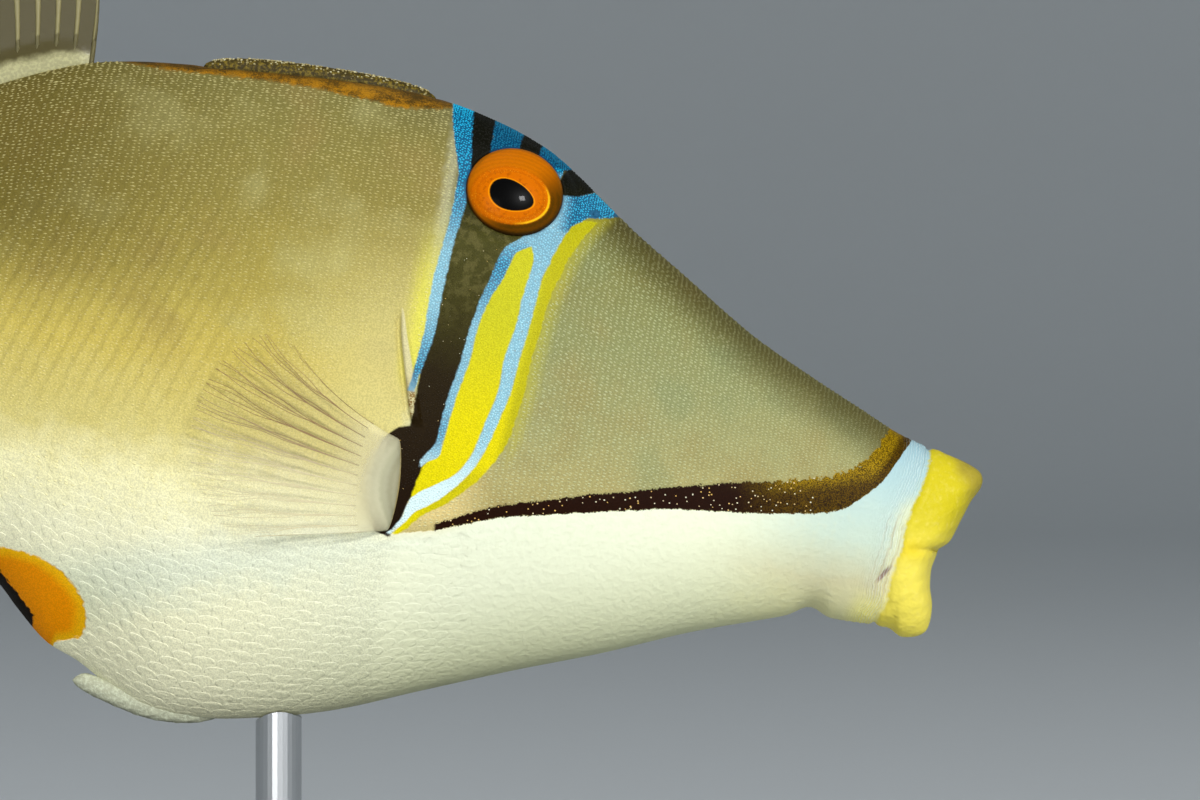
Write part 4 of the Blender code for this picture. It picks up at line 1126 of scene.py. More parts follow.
def mesh_points(data):
    """A mesh's vertices as an array."""
    flat = np.empty(len(data.vertices) * 3, dtype=np.float32)
    data.vertices.foreach_get("co", flat)
    return flat.reshape(-1, 3).astype(float)


def set_points(data, points):
    """Put a mesh's vertices at these points."""
    data.vertices.foreach_set("co", points.astype(np.float32).ravel())
    data.update()


def set_fields(data, fields):
    """Number attributes on a mesh's vertices, by name."""
    for name, values in fields.items():
        layer = data.attributes.new(name, "FLOAT", "POINT")
        layer.data.foreach_set("value", np.asarray(values, dtype=np.float32))


def share_grid(rows, columns):
    """A flat grid whose vertices' x and y run from 0 to 1."""
    mesh = bmesh.new()
    bmesh.ops.create_grid(mesh, x_segments=rows, y_segments=columns, size=0.5)
    bmesh.ops.translate(mesh, vec=(0.5, 0.5, 0.0), verts=mesh.verts[:])
    return mesh


def shares(mesh):
    """The row and column shares of a grid's vertices."""
    flat = np.array([vert.co[:2] for vert in mesh.verts])
    return flat[:, 0], flat[:, 1]


def map_uv(mesh, name, place):
    """A UV map over a bmesh, from a function of its vertices' places."""
    layer = mesh.loops.layers.uv.new(name)
    for face in mesh.faces:
        for loop in face.loops:
            loop[layer].uv = place(loop.vert.co)


def flat_place(point):
    """A point's own x and y."""
    return point.xy


def move_verts(mesh, points):
    """Put a bmesh's vertices at these points."""
    for vert, point in zip(mesh.verts, points):
        vert.co = point


def settle_grid(mesh, points):
    """Move a grid's vertices to their points and close its seams."""
    move_verts(mesh, points)
    bmesh.ops.remove_doubles(mesh, verts=mesh.verts[:], dist=WELD)
    bmesh.ops.dissolve_degenerate(mesh, edges=mesh.edges[:], dist=WELD)
    bmesh.ops.recalc_face_normals(mesh, faces=mesh.faces[:])


def new_verts(made):
    """The vertices of an operator's result."""
    return [item for item in made["geom"] if isinstance(item, bmesh.types.BMVert)]


def new_faces(made):
    """The faces of an operator's result."""
    return [item for item in made["geom"] if isinstance(item, bmesh.types.BMFace)]


def pile(mesh, top, steps):
    """Extrude a face again and again, each step a rise and a share of its width."""
    for number, (rise, share) in enumerate(steps):
        made = bmesh.ops.extrude_face_region(mesh, geom=top)
        bmesh.ops.translate(mesh, vec=(0, 0, rise), verts=new_verts(made))
        bmesh.ops.scale(mesh, vec=(share, share, 1.0), verts=new_verts(made))
        if number:
            bmesh.ops.delete(mesh, geom=top, context="FACES_ONLY")
        top = new_faces(made)
    return top


def dome(sides, rings=GRANULE_RINGS, square=1.0):
    """A small closed form: its root below 0, the skin at 0 and its tip at 1."""
    mesh = bmesh.new()
    bmesh.ops.create_circle(mesh, cap_ends=True, segments=sides, radius=rings[0][0])
    bmesh.ops.translate(mesh, vec=(0, 0, rings[0][1]), verts=mesh.verts[:])
    steps = [(b[1] - a[1], b[0] / a[0]) for a, b in zip(rings, rings[1:])]
    top = pile(mesh, mesh.faces[:], steps)
    tip = bmesh.ops.poke(mesh, faces=top)
    bmesh.ops.translate(mesh, vec=(0, 0, 1.0 - rings[-1][1]), verts=tip["verts"])
    for vert in mesh.verts:
        away = math.hypot(vert.co.x, vert.co.y)
        if away > 1e-6:
            vert.co.x = math.copysign(away * abs(vert.co.x / away) ** square, vert.co.x)
            vert.co.y = math.copysign(away * abs(vert.co.y / away) ** square, vert.co.y)
    bmesh.ops.recalc_face_normals(mesh, faces=mesh.faces[:])
    return mesh


def rod(sides, rows):
    """A closed rod of unit radius from 0 to 1 along Z."""
    mesh = bmesh.new()
    bmesh.ops.create_circle(mesh, cap_ends=True, segments=sides, radius=1.0)
    pile(mesh, mesh.faces[:], [(1.0 / rows, 1.0)] * rows)
    bmesh.ops.recalc_face_normals(mesh, faces=mesh.faces[:])
    return mesh


def slab(rows, columns):
    """A closed slab over shares of a fin, one face at Z 0 and one at Z 1."""
    mesh = share_grid(rows, columns)
    top = bmesh.ops.extrude_face_region(mesh, geom=mesh.faces[:])
    bmesh.ops.translate(mesh, vec=(0, 0, 1.0), verts=new_verts(top))
    bmesh.ops.recalc_face_normals(mesh, faces=mesh.faces[:])
    return mesh


def copies(template, count):
    """The template and its copies, one after the other in one mesh."""
    size = len(template.verts)
    made = 1
    while made < count:
        whole = template.verts[:] + template.edges[:] + template.faces[:]
        bmesh.ops.duplicate(template, geom=whole)
        made *= 2
    template.verts.ensure_lookup_table()
    bmesh.ops.delete(template, geom=template.verts[size * count:], context="VERTS")
    return template


def template_points(mesh):
    """A bmesh's vertices as an array."""
    return np.array([vert.co[:] for vert in mesh.verts])


def strew(name, template, where, sizes, material, lay=None, fields=True):
    """Copies of a small form over the skin as one piece.

    Sizes are half lengths in millimetres. Wide forms follow the skin's curve where lay gives
    the skin's depth.
    """
    u, v, point, rear, aside, out, span = where
    local = template_points(template)
    count = len(u)
    piece = new_mesh(name, copies(template, count), material)
    data = piece.data
    shape = local[None] * np.asarray(sizes)[:, None, :] * MM
    rise = shape[..., 2:3]
    if lay is None:
        points = point[:, None] + shape[..., 0:1] * rear[:, None] + shape[..., 1:2] * aside[:, None]
    else:
        points = skin_surface(
            u[:, None] + shape[..., 0] / span[:, 0:1], v[:, None] + shape[..., 1] / span[:, 1:2],
            lay)
        lifted = (points - point[:, None])[..., 2] / MM / np.asarray(sizes)[:, 1:2]
        tilt = np.clip(0.15 + lifted, -1.0, 1.2)
        rise = rise * np.where(local[:, 2] > 0.0, tilt, 1.0)[..., None]
    points = points + rise * out[:, None]
    set_points(data, points)
    corner = np.empty(len(data.loops), dtype=np.int32)
    data.loops.foreach_get("vertex_index", corner)
    owner, part = corner // len(local), corner % len(local)
    patch = np.stack([u[owner], v[owner]], axis=-1) + local[part, :2] * FORM_PATCH
    layer = data.uv_layers.new(name="OFBake")
    layer.data.foreach_set("uv", patch.astype(np.float32).ravel())
    if fields:
        set_fields(data, markings(points.reshape(-1, 3)))
    if lay is not None:
        # This field marks the upper rims of wide forms, which the skin's colours paint as a highlight
        edge = ease(0.2, 0.8, lifted) * ((local[:, 2] > 0.2) & (local[:, 2] < 0.9))
        set_fields(data, {"edge": edge.ravel()})
    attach(piece, BODY)
    return piece


def draws(name):
    """Random numbers for one use, the same in every run."""
    return np.random.default_rng(SEEDS[name])


def lattice(name, step, pitch, depth, wander):
    """Staggered places over the right flank, as shares of the skin's rows and columns."""
    fine = np.linspace(step[0][0], step[-1][0], 900)
    number = np.cumsum(np.diff(fine) / linear(step, fine[1:]))
    stations = np.interp(np.arange(0.0, number[-1]), np.concatenate([[0.0], number]), fine)
    v = np.linspace(0.0, 0.5, 301)
    u = station_share(stations)
    s, y, h = bare_skin(u[:, None] + 0.0 * v, v + 0.0 * u[:, None], depth)
    run = np.hypot(np.diff(y, axis=1), np.diff(h, axis=1))
    run = np.concatenate([np.zeros((len(u), 1)), np.cumsum(run, axis=1)], axis=1)
    draw = draws(name)
    rows, columns = [], []
    for k, station in enumerate(stations):
        along_here = float(linear(step, station))
        apart = float(linear(pitch, station))
        middle = np.interp(0.25, v, run[k])
        shift = 0.5 * (k % 2)
        low = math.ceil(-middle / apart - shift)
        high = math.floor((run[k, -1] - middle) / apart - shift)
        levels = middle + apart * (np.arange(low, high + 1) + shift)
        levels = levels + draw.normal(0.0, wander * apart, len(levels))
        columns.append(np.interp(levels, run[k], v))
        rows.append(station + draw.normal(0.0, wander * along_here, len(levels)))
    return station_share(np.concatenate(rows)), np.concatenate(columns)


def both_flanks(u, v):
    """The same places on the right and the left flank."""
    return ((u, v), (u, 1.0 - v))


def only(where, keep):
    """The places that are kept."""
    return tuple(item[keep] for item in where)


def clear_of_eyes(points, reach):
    """True where points are outside the eyes by a share of their size."""
    clear = np.ones(points.shape[:-1], dtype=bool)
    for side in (1, -1):
        local, away = eye_places(points, side)
        clear &= (away > reach) | (local[..., 2] < -9.0)
    return clear


def median_fin(profile, base, length, lean, up, sway, waves, phase):
    """Mid surface of a dorsal or anal fin that waves from side to side."""
    def point(u, v):
        s = base[0] + (base[1] - base[0]) * u
        reach = ROOT_DEPTH + along(length, u)
        tilt = np.radians(along(lean, u)) + 0.12 * v * v
        out = reach * v
        root = along(profile, s) - up * ROOT_DEPTH
        wave = sway * np.maximum(v, 0.0) ** 1.5 * np.sin(2.0 * np.pi * (waves * u + phase))
        return to_world(s + out * np.sin(tilt), wave, root + up * out * np.cos(tilt))
    return point


def caudal_fin(u, v):
    """Mid surface of the tail fin, fanned and swept a little to one side."""
    angle = CAUDAL_SPREAD * (1.0 - 2.0 * u)
    high, low = CAUDAL_ROOT_HEIGHT
    out = along(CAUDAL_LENGTH, u) * v
    h = high + (low - high) * u + out * np.sin(angle)
    return to_world(CAUDAL_ROOT_S + out * np.cos(angle), CAUDAL_SWAY * v * v, h)


def pectoral_fin(side):
    """Mid surface of a pectoral fin that leaves the flank on a short fleshy lobe."""
    def point(u, v):
        (top_s, top_h), (bottom_s, bottom_h) = PECTORAL_ROOT
        root_s = top_s + (bottom_s - top_s) * u - PECTORAL_ROOT_BOW * np.sin(math.pi * u)
        root_h = top_h + (bottom_h - top_h) * u
        angle = np.radians(along(PECTORAL_ANGLE, u))
        reach = along(PECTORAL_LENGTH, u)
        tip_s = PECTORAL_CENTRE[0] + reach * np.cos(angle)
        tip_h = PECTORAL_CENTRE[1] + reach * np.sin(angle)
        bow = PECTORAL_BOW * (1.0 - u) ** 2 * 4.0 * v * (1.0 - v)
        s = root_s + (tip_s - root_s) * v + bow * np.sin(angle)
        h = root_h + (tip_h - root_h) * v - bow * np.cos(angle)
        lift = PECTORAL_LOBE * (1.0 - np.exp(-v * reach / PECTORAL_DECAY)) + PECTORAL_STANDOFF * v
        return to_world(s, side * (body_side(root_s, root_h) - PECTORAL_SINK + lift), h)
    return point


def surface_frame(point, u, v):
    """Points of a fin's mid surface with the directions across its rays and out of its face."""
    across = point(np.clip(u + 0.004, 0, 1), v) - point(np.clip(u - 0.004, 0, 1), v)
    outward = point(u, v + 0.004) - point(u, v - 0.004)
    across = across / np.linalg.norm(across, axis=-1, keepdims=True)
    face = np.cross(across, outward)
    return point(u, v), across, face / np.linalg.norm(face, axis=-1, keepdims=True)


def membrane(name, point, rays, flesh, flesh_end, material, node):
    """The web of a fin: fleshy at its root, thin and a little hollow between the rays."""
    mesh = slab((rays - 1) * WEB_GRID[0], WEB_GRID[1])
    local = template_points(mesh)
    u, v = local[:, 0], local[:, 1]
    between = np.sin(math.pi * u * (rays - 1)) ** 2
    reach = 1.0 - WEB_HOLLOW * between
    centre, across, face = surface_frame(point, u, v * reach)
    rounded = np.sqrt(np.maximum(1.0 - np.abs(2.0 * u - 1.0) ** 6, 0.0))
    rounded = rounded * np.sqrt(np.clip(v / 0.06, 0.0, 1.0))
    soft = flesh * rounded * np.sqrt(np.maximum(1.0 - v / flesh_end, 0.0))
    thick = np.maximum(WEB_THICKNESS * (1.0 - 0.5 * v), soft)
    points = centre + face * ((local[:, 2] - 0.5) * thick * MM)[:, None]
    map_uv(mesh, "fin", flat_place)
    move_verts(mesh, points)
    bmesh.ops.recalc_face_normals(mesh, faces=mesh.faces[:])
    piece = new_mesh(name, mesh, material)
    set_fields(piece.data, {"share": v, "across": u})
    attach(piece, BODY)
    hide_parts(node)
    return piece


def fin_rays(name, point, rays, splits, radii, material, node, start, wave):
    """Fin rays as fine strands that leave one stem and part towards the edge."""
    template = rod(*RAY_GRID)
    local = template_points(template)
    strands = [
        (ray / (rays - 1), (k + 0.5) / splits - 0.5) for ray in range(rays) for k in range(splits)]
    share, offset = np.array(strands).T[..., None]
    piece = new_mesh(name, copies(template, len(strands)), material)
    v = start + (RAY_END - start) * local[:, 2][None] + 0.0 * share
    spread = offset * ease(0.25, 1.0, v) * 0.8 / (rays - 1)
    spread *= np.where((share < 0.01) | (share > 0.99), 0.4, 1.0)
    phase = draws("rays").uniform(0.0, 6.3, (len(strands), 1))
    swing = np.sin(v * 11.0 + phase) + 0.6 * np.sin(v * 23.0 + 2.0 * phase)
    u = np.clip(share + spread + wave * ease(0.2, 0.6, v) * swing, 0.0, 1.0)
    centre, across, face = surface_frame(point, u, v)
    radius = (radii[0] + (radii[1] - radii[0]) * v)[..., None] * MM
    row = np.arange(len(local)) // RAY_GRID[0]
    joint = 1.0 + 0.12 * (row % 2)[None, :, None] * (v > 0.3)[..., None]
    points = centre + across * local[None, :, 0:1] * radius * joint
    points = points + face * local[None, :, 1:2] * radius * joint
    set_points(piece.data, points)
    set_fields(piece.data, {"share": v.ravel(), "across": (share + 0.0 * v).ravel()})
    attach(piece, BODY)
    return piece


def membrane_material(name, web, flesh, clear):
    """A thin clear web, duller and solid at its fleshy root."""
    paint = Paint(name)
    place = fish_place(paint)
    share = paint.field("share")
    cloud = paint.spots(place, 0.5, 3.0)
    grain = paint.spots(place, 2.4, 2.0)
    root = paint.step(share + (cloud - 0.5) * 0.06, 0.16, 0.11)
    streak = paint.spots(paint.add("ShaderNodeUVMap", {"uv_map": "fin"}), 90.0, 2.0)
    sheath = paint.blend(paint.step(grain, 0.4, 0.65) * 0.6, flesh, tuple(c * 1.5 for c in flesh))
    colour = paint.coats(web, (streak * 0.5, tuple(c * 0.6 for c in web)), (root, sheath))
    alpha = (clear + streak * 0.2 + root).least(1.0)
    normal = paint.bump(streak + grain * root, 0.00006, 0.5)
    return paint.finish(0.3, base_color=colour, alpha=alpha, roughness=0.35, normal=normal)


def pectoral_material():
    """The pectoral fin's fleshy lobe in a greyish painted shade and its nearly clear web, creamier
    below.
    """
    paint = Paint("pectoral_web")
    step = paint.step
    place = fish_place(paint)
    share = paint.field("share")
    lower = step(paint.field("across"), 0.30, 0.75)
    grain = paint.spots(place, 1.6, 3.0)
    middle = paint.field("across") * 2.0 - 1.0
    curve = share + middle * middle * 0.10 + (grain - 0.5) * 0.015
    lobe = step(curve, 0.20, 0.06)
    creamy = step(share, 0.42, 0.14)
    arcs = (curve * 170.0).sine() * 0.5 + 0.5
    # Painted shade: the fleshy lobe coloured like the shadowed web, darker away from its root
    lobe_shade_grey = paint.blend(step(curve, 0.02, 0.15), (0.355, 0.33, 0.205), (0.25, 0.255, 0.165))
    colour = paint.coats(
        paint.blend(lower, (0.62, 0.52, 0.26), (0.90, 0.87, 0.62)),
        (creamy, (0.86, 0.80, 0.52)),
        (lobe, paint.blend(arcs * 0.20, lobe_shade_grey, (0.50, 0.48, 0.34))),
        (step(share, 0.035, 0.012) * 0.8, (0.62, 0.44, 0.10)))
    streak = paint.spots(paint.add("ShaderNodeUVMap", {"uv_map": "fin"}), 60.0, 2.0)
    clear = (0.03 + lower * 0.10 + streak * 0.06) * step(share, 1.0, 0.55) + creamy * 0.18
    alpha = (clear + lobe).least(1.0)
    normal = paint.bump(grain * lobe + streak, 0.00005, 0.5)
    return paint.finish(0.25, base_color=colour, alpha=alpha, roughness=0.4, normal=normal)


def ray_material(name, upper, lower):
    """Jointed horny rays, of one colour above and another below."""
    paint = Paint(name)
    cloud = paint.spots(fish_place(paint), 1.2, 2.0)
    colour = paint.blend(paint.step(paint.field("across"), 0.34, 0.62), upper, lower)
    colour = paint.blend(cloud * 0.4, colour, tuple(c * 0.6 for c in upper))
    normal = paint.bump(cloud, 0.00003, 0.4)
    return paint.finish(0.3, base_color=colour, roughness=0.4, normal=normal)


class PicassofishSkin(bpy.types.PropertyGroup):
    """Sizes of the skin."""

    depth: FloatProperty(
        name="Scale depth", description="How far the skin lies inside the solids",
        default=0.25, min=0.0, max=1.0)
    grain: FloatProperty(
        name="Grain", description="Depth of the skin's fine grain in millimetres",
        default=0.12, min=0.0, max=1.0)


class PicassofishEyes(bpy.types.PropertyGroup):
    """Sizes of the iris and the pupil, in the eye's own millimetres."""

    iris_centre: FloatVectorProperty(
        name="Iris centre", description="Middle of the bright iris", size=2, default=(-0.6, -1.45))
    iris_radii: FloatVectorProperty(
        name="Iris radii", description="Half length and half height", size=2, default=(5.57, 4.05))
    pupil_centre: FloatVectorProperty(
        name="Pupil centre", description="Middle of the pupil", size=2, default=(-0.5, -1.65))
    pupil_radii: FloatVectorProperty(
        name="Pupil radii", description="Half length and half height", size=2, default=(3.13, 2.1))


class PicassofishScales(bpy.types.PropertyGroup):
    """Sizes of the scales and granules, as half lengths in millimetres."""

    plate: FloatVectorProperty(
        name="Body scale", description="Half length, half height and rise of a body scale",
        size=3, default=(1.56, 0.84, 0.030))
    dash: FloatVectorProperty(
        name="Scale ridge", description="Half length, half width and rise of a scale's ridges",
        size=3, default=(0.35, 0.135, 0.10))
    cheek: FloatVectorProperty(
        name="Cheek granule", description="Half length, half width and rise of a cheek granule",
        size=3, default=(0.30, 0.14, 0.095))
    grain: FloatVectorProperty(
        name="Band granule", description="Half length, half width and rise in the bands",
        size=3, default=(0.20, 0.165, 0.08))


class PicassofishStage(bpy.types.PropertyGroup):
    """Camera, floor and light."""

    lens: FloatProperty(
        name="Lens", description="Focal length in millimetres", default=180.0)
    frame_width: FloatProperty(
        name="Frame width", description="Width that the camera takes in at the fish",
        default=0.1671, unit="LENGTH")
    aim: FloatVectorProperty(
        name="Aim", description="Middle of the view from the mouth", size=2,
        default=(-0.0481, 0.0206), unit="LENGTH")
    floor_colour: FloatVectorProperty(
        name="Floor", description="Colour of the floor", subtype="COLOR",
        default=(0.62, 0.66, 0.68))
    key_power: FloatProperty(
        name="Key light", description="Power of the front light in watts", default=36.0)
    fill_power: FloatProperty(
        name="Fill light", description="Power of the left front light in watts", default=15.0)
    top_power: FloatProperty(
        name="Top light", description="Power of the top light in watts", default=8.0)
    ambient: FloatProperty(
        name="Ambient", description="Strength of the light from all round", default=0.22)


class PICASSOFISH_OT_skin(bpy.types.Operator):
    """Model the one skin over head, lips, trunk and tail."""

    bl_idname = "picassofish.skin"
    bl_label = "Skin"

    def execute(self, context):
        look = context.scene.picassofish_skin
        mesh = share_grid(SKIN_ROWS, SKIN_COLUMNS)
        self.refine(mesh, look.depth, self.marked)
        self.refine(mesh, look.depth, self.detailed)
        u, v = shares(mesh)
        map_uv(mesh, "OFBake", flat_place)
        settle_grid(mesh, skin_surface(u, v, look.depth))
        piece = new_mesh("skin", mesh, skin_material("skin"))
        set_fields(piece.data, markings(mesh_points(piece.data)))
        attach(piece, BODY)
        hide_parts("head", "trunk", "tail", "upper_lip", "lower_lip")
        return {"FINISHED"}

    def rings(self, points):
        """How far places are from the nearer eye's middle, as a share of its size."""
        least = np.full(len(points), 9.0)
        for side in (1, -1):
            local, away = eye_places(points, side)
            least = np.where(local[:, 2] > -6.0, np.minimum(least, away), least)
        return least

    def marked(self, points, s, y, h):
        """Where the bands, the cheek line and the eyes need a finer grid."""
        fields = markings(points)
        rings = self.rings(points)
        bands = (band_depth(fields) > -1.0) & (s > 52.0) & (s < 82.0)
        line = (np.abs(line_depth(fields)) < 1.5) & (s < 76.0)
        vent = np.abs(fields["vent"]) < 1.5
        gill = (np.abs(gill_distance(s, h)) < 2.6) & (h > 2.0) & (h < 23.0)
        return bands | line | vent | gill | ((rings > 0.8) & (rings < 1.3))

    def detailed(self, points, s, y, h):
        """Where the eyes' rims, the nostrils and the gill flap need the finest grid."""
        rings = self.rings(points)
        fine = (rings > 0.88) & (rings < 1.14)
        fine |= (np.abs(gill_distance(s, h)) < 1.9) & (h > 3.0) & (h < 22.0)
        for spot_s, spot_h in NOSTRILS:
            fine |= (np.hypot(s - spot_s, h - spot_h) < 1.4) & (np.abs(y) > 3.0)
        return fine

    def refine(self, mesh, depth, wanted):
        """Halve the grid's cells in a region."""
        u, v = shares(mesh)
        s, y, h = bare_skin(u, v, depth)
        fine = wanted(to_world(s, y, h), s, y, h)
        mesh.verts.index_update()
        edges = [
            edge for edge in mesh.edges
            if fine[edge.verts[0].index] and fine[edge.verts[1].index]]
        bmesh.ops.subdivide_edges(mesh, edges=edges, cuts=1, use_grid_fill=True)
        mesh.verts.index_update()


class PICASSOFISH_OT_eyes(bpy.types.Operator):
    """Model both eyes."""

    bl_idname = "picassofish.eyes"
    bl_label = "Eyes"

    def execute(self, context):
        material = eye_material()
        self.ball("eye_left", 1, material)
        self.ball("eye_right", -1, material)
        return {"FINISHED"}

    def ball(self, name, side, material):
        """One eye, flatter in front than behind, with its own flat UV map."""
        mesh = share_grid(*EYE_GRID)
        u, v = shares(mesh)
        angle = 2.0 * math.pi * v
        away = np.sin(math.pi * u)
        depth = np.where(u < 0.5, EYE_BULGE, EYE_BACK)
        local = np.stack([
            away * np.cos(angle) * EYE_LENGTH / 2.0,
            away * np.sin(angle) * EYE_DEPTH / 2.0,
            np.cos(math.pi * u) * depth], axis=-1)
        settle_grid(mesh, turned(local, eye_matrix(side)))
        back = eye_matrix(side).inverted()

        def disc(point):
            """A point's place on the eye's flat map."""
            spot = back @ point
            return spot.x / EYE_DISC + 0.5, -side * spot.y / EYE_DISC + 0.5

        map_uv(mesh, "disc", disc)
        piece = new_mesh(name + "_ball", mesh, material)
        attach(piece, BODY)
        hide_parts(name)


class PICASSOFISH_OT_granules(bpy.types.Operator):
    """Strew the head's granules, longer on the cheek and finer in the bands."""

    bl_idname = "picassofish.granules"
    bl_label = "Head granules"

    def execute(self, context):
        look = context.scene.picassofish_scales
        depth = context.scene.picassofish_skin.depth
        coloured = skin_material("granules", raised=0.46, shine=0.14)
        paint = Paint("specks")
        tone = paint.spots(fish_place(paint), 0.9, 1.0)
        bright = paint.blend(paint.step(tone, 0.4, 0.6), (0.80, 0.50, 0.12), (0.85, 0.82, 0.60))
        specks = paint.finish(base_color=bright, roughness=0.35)
        cheek = lattice("cheek", CHEEK_STEP, CHEEK_PITCH, depth, 0.13)
        band = lattice("band", BAND_STEP, BAND_PITCH, depth, 0.16)
        line = lattice("line", LINE_STEP, LINE_PITCH, depth, 0.2)
        kinds = (
            ("cheek", cheek, look.cheek, 6, self.on_cheek, coloured),
            ("band", band, look.grain, 5, self.on_bands, coloured),
            ("bar_specks", band, BAR_SPECK, 5, self.in_bars, specks),
            ("line_specks", line, LINE_SPECK, 5, self.in_line, specks),
        )
        for kind, (u, v), size, sides, wanted, material in kinds:
            for (flank_u, flank_v), side in zip(both_flanks(u, v), ("right", "left")):
                where = skin_places(flank_u, flank_v, depth)
                fields = markings(where[2])
                s, y, h = to_fish(where[2])
                keep = clear_of_eyes(where[2], 1.045) & (fields["lip_root"] > 3.4)
                for spot_s, spot_h in NOSTRILS:
                    keep &= np.hypot(s - spot_s, h - spot_h) > 0.7
                keep &= (fields["flap"] < -0.2) & wanted(fields, s, h)
                sizes = np.array(size) * draws("granules").normal(1.0, 0.14, (keep.sum(), 1))
                if kind == "cheek":
                    sizes[:, :2] *= np.interp(s[keep], (12.0, 34.0, 50.0), (0.62, 0.85, 1.0))[:, None]
                places = only(where, keep)
                strew(f"{kind}_{side}", dome(sides), places, sizes, material)
        return {"FINISHED"}

    def on_cheek(self, fields, s, h):
        """Above the cheek line, ahead of the gill opening and off the bands."""
        ahead = s < 76.8 - np.maximum(0.0, 6.0 - h) * 0.3
        above = (fields["line_low"] > 0.0) & (line_depth(fields) < -0.2)
        return above & (band_depth(fields) < -0.25) & ahead

    def on_bands(self, fields, s, h):
        """On the blue bands, and more thinly on the yellow and the dark ones."""
        chance = draws("band_chance").random(len(s))
        other = np.maximum(fields["yellow"], fields["dark"]) > 0.0
        return (fields["blue"] > -0.05) | (other & (chance < 0.75) & (h > -3.0))

    def in_bars(self, fields, s, h):
        """A few in the dark bars."""
        chance = draws("bar_chance").random(len(s))
        low = np.interp(h, (-8.0, 6.0, 26.0, 34.0, 37.0), (0.008, 0.07, 0.10, 0.03, 0.004))
        return (fields["dark"] > 0.15) & (fields["blue"] < -0.2) & (chance < low)

    def in_line(self, fields, s, h):
        """A few in the dark cheek line."""
        chance = draws("line_chance").random(len(s))
        return (line_depth(fields) > 0.15) & (chance < 0.22)


class PICASSOFISH_OT_scales(bpy.types.Operator):
    """Lay the body's plate scales and the fine ridges that stand on them."""

    bl_idname = "picassofish.scales"
    bl_label = "Body scales"

    def execute(self, context):
        depth = context.scene.picassofish_skin.depth
        self.plates(context.scene.picassofish_scales, depth)
        self.ridges(context.scene.picassofish_scales, depth)
        return {"FINISHED"}

    def flanks(self, places, depth):
        """The places on each flank with their fields, off the bands and the bare skin."""
        for (u, v), side in zip(both_flanks(*places), ("right", "left")):
            where = skin_places(u, v, depth)
            fields = markings(where[2])
            s, y, h = to_fish(where[2])
            keep = (band_depth(fields) < -0.5) & (fin_patch(s, h) >= 1.0)
            keep &= fields["vent_opening"] < -0.2
            keep &= (fields["flap"] < -0.5) & (fields["back_stripe"] < -0.1)
            yield side, where, fields, s, y, h, keep

    def plates(self, look, depth):
        """Flat scales over the trunk, the throat and the tail."""
        material = skin_material("scale_plates")
        places = lattice("plates", SCALE_STEP, SCALE_PITCH, depth, 0.03)
        for side, where, fields, s, y, h, keep in self.flanks(places, depth):
            level = h + 0.04 * np.maximum(s - 100.0, 0.0)
            pale = (level < -4.0) & (s > 64.0) & (fields["line_low"] < -0.9)
            keep &= (np.abs(y) > 0.5) & (pale | ((level < -4.0) & (s > 74.0)))
            keep &= fields["vent"] < -0.6
            size = linear(SCALE_STEP, s[keep])[:, None] / 1.6
            calm = np.interp(s[keep], (64.0, 80.0, 95.0), (0.1, 0.4, 1.0))
            calm *= np.interp(level[keep], (-23.0, -14.0, -4.0), (1.0, 0.45, 0.12))
            calm *= np.interp(fields["keel"][keep], (2.0, 9.0), (0.3, 1.0))
            vary = draws("plate_sizes").normal(1.0, 0.03, (keep.sum(), 1))
            sizes = np.array(look.plate) * size * vary
            sizes[:, 2] = look.plate[2] * calm
            form = dome(10, PLATE_RINGS, 0.8)
            strew(f"scales_{side}", form, only(where, keep), sizes, material, depth)

    def ridges(self, look, depth):
        """Short pale ridges over the back and the flank, none on the pale belly."""
        material = skin_material("scale_ridges", raised=0.44, shine=0.24)
        places = lattice("ridges", RIDGE_STEP, RIDGE_PITCH, depth, 0.14)
        for side, where, fields, s, y, h, keep in self.flanks(places, depth):
            draw = draws("ridge_sizes")
            level = h + (s - 100.0) * np.where(s > 100.0, 0.04, 0.0)
            chance = 0.94 * ease(-15.0, 3.0, level)
            seam = np.sin((s + h * SEAM_LEAN) * 2.0 * math.pi / SEAM_SPACING)
            chance = chance * np.where((seam > 0.8) & (h < 28.0) & (s > 92.0), 0.5, 1.0)
            chance = chance * ease(1.0, 1.7, fin_patch(s, h))
            keep &= (s > np.where(h > 9.0, 76.9, 78.8)) & (draw.random(len(s)) < chance)
            keep &= fields["vent"] < -0.5
            for part, here in (("fore", keep & (s < 112.0)), ("rear", keep & (s >= 112.0))):
                sizes = np.array(look.dash) * draw.normal(1.0, 0.16, (here.sum(), 1))
                sizes[:, 0] *= draw.uniform(0.75, 1.35, here.sum())
                form = dome(4, RIDGE_RINGS)
                strew(f"ridges_{part}_{side}", form, only(where, here), sizes, material)


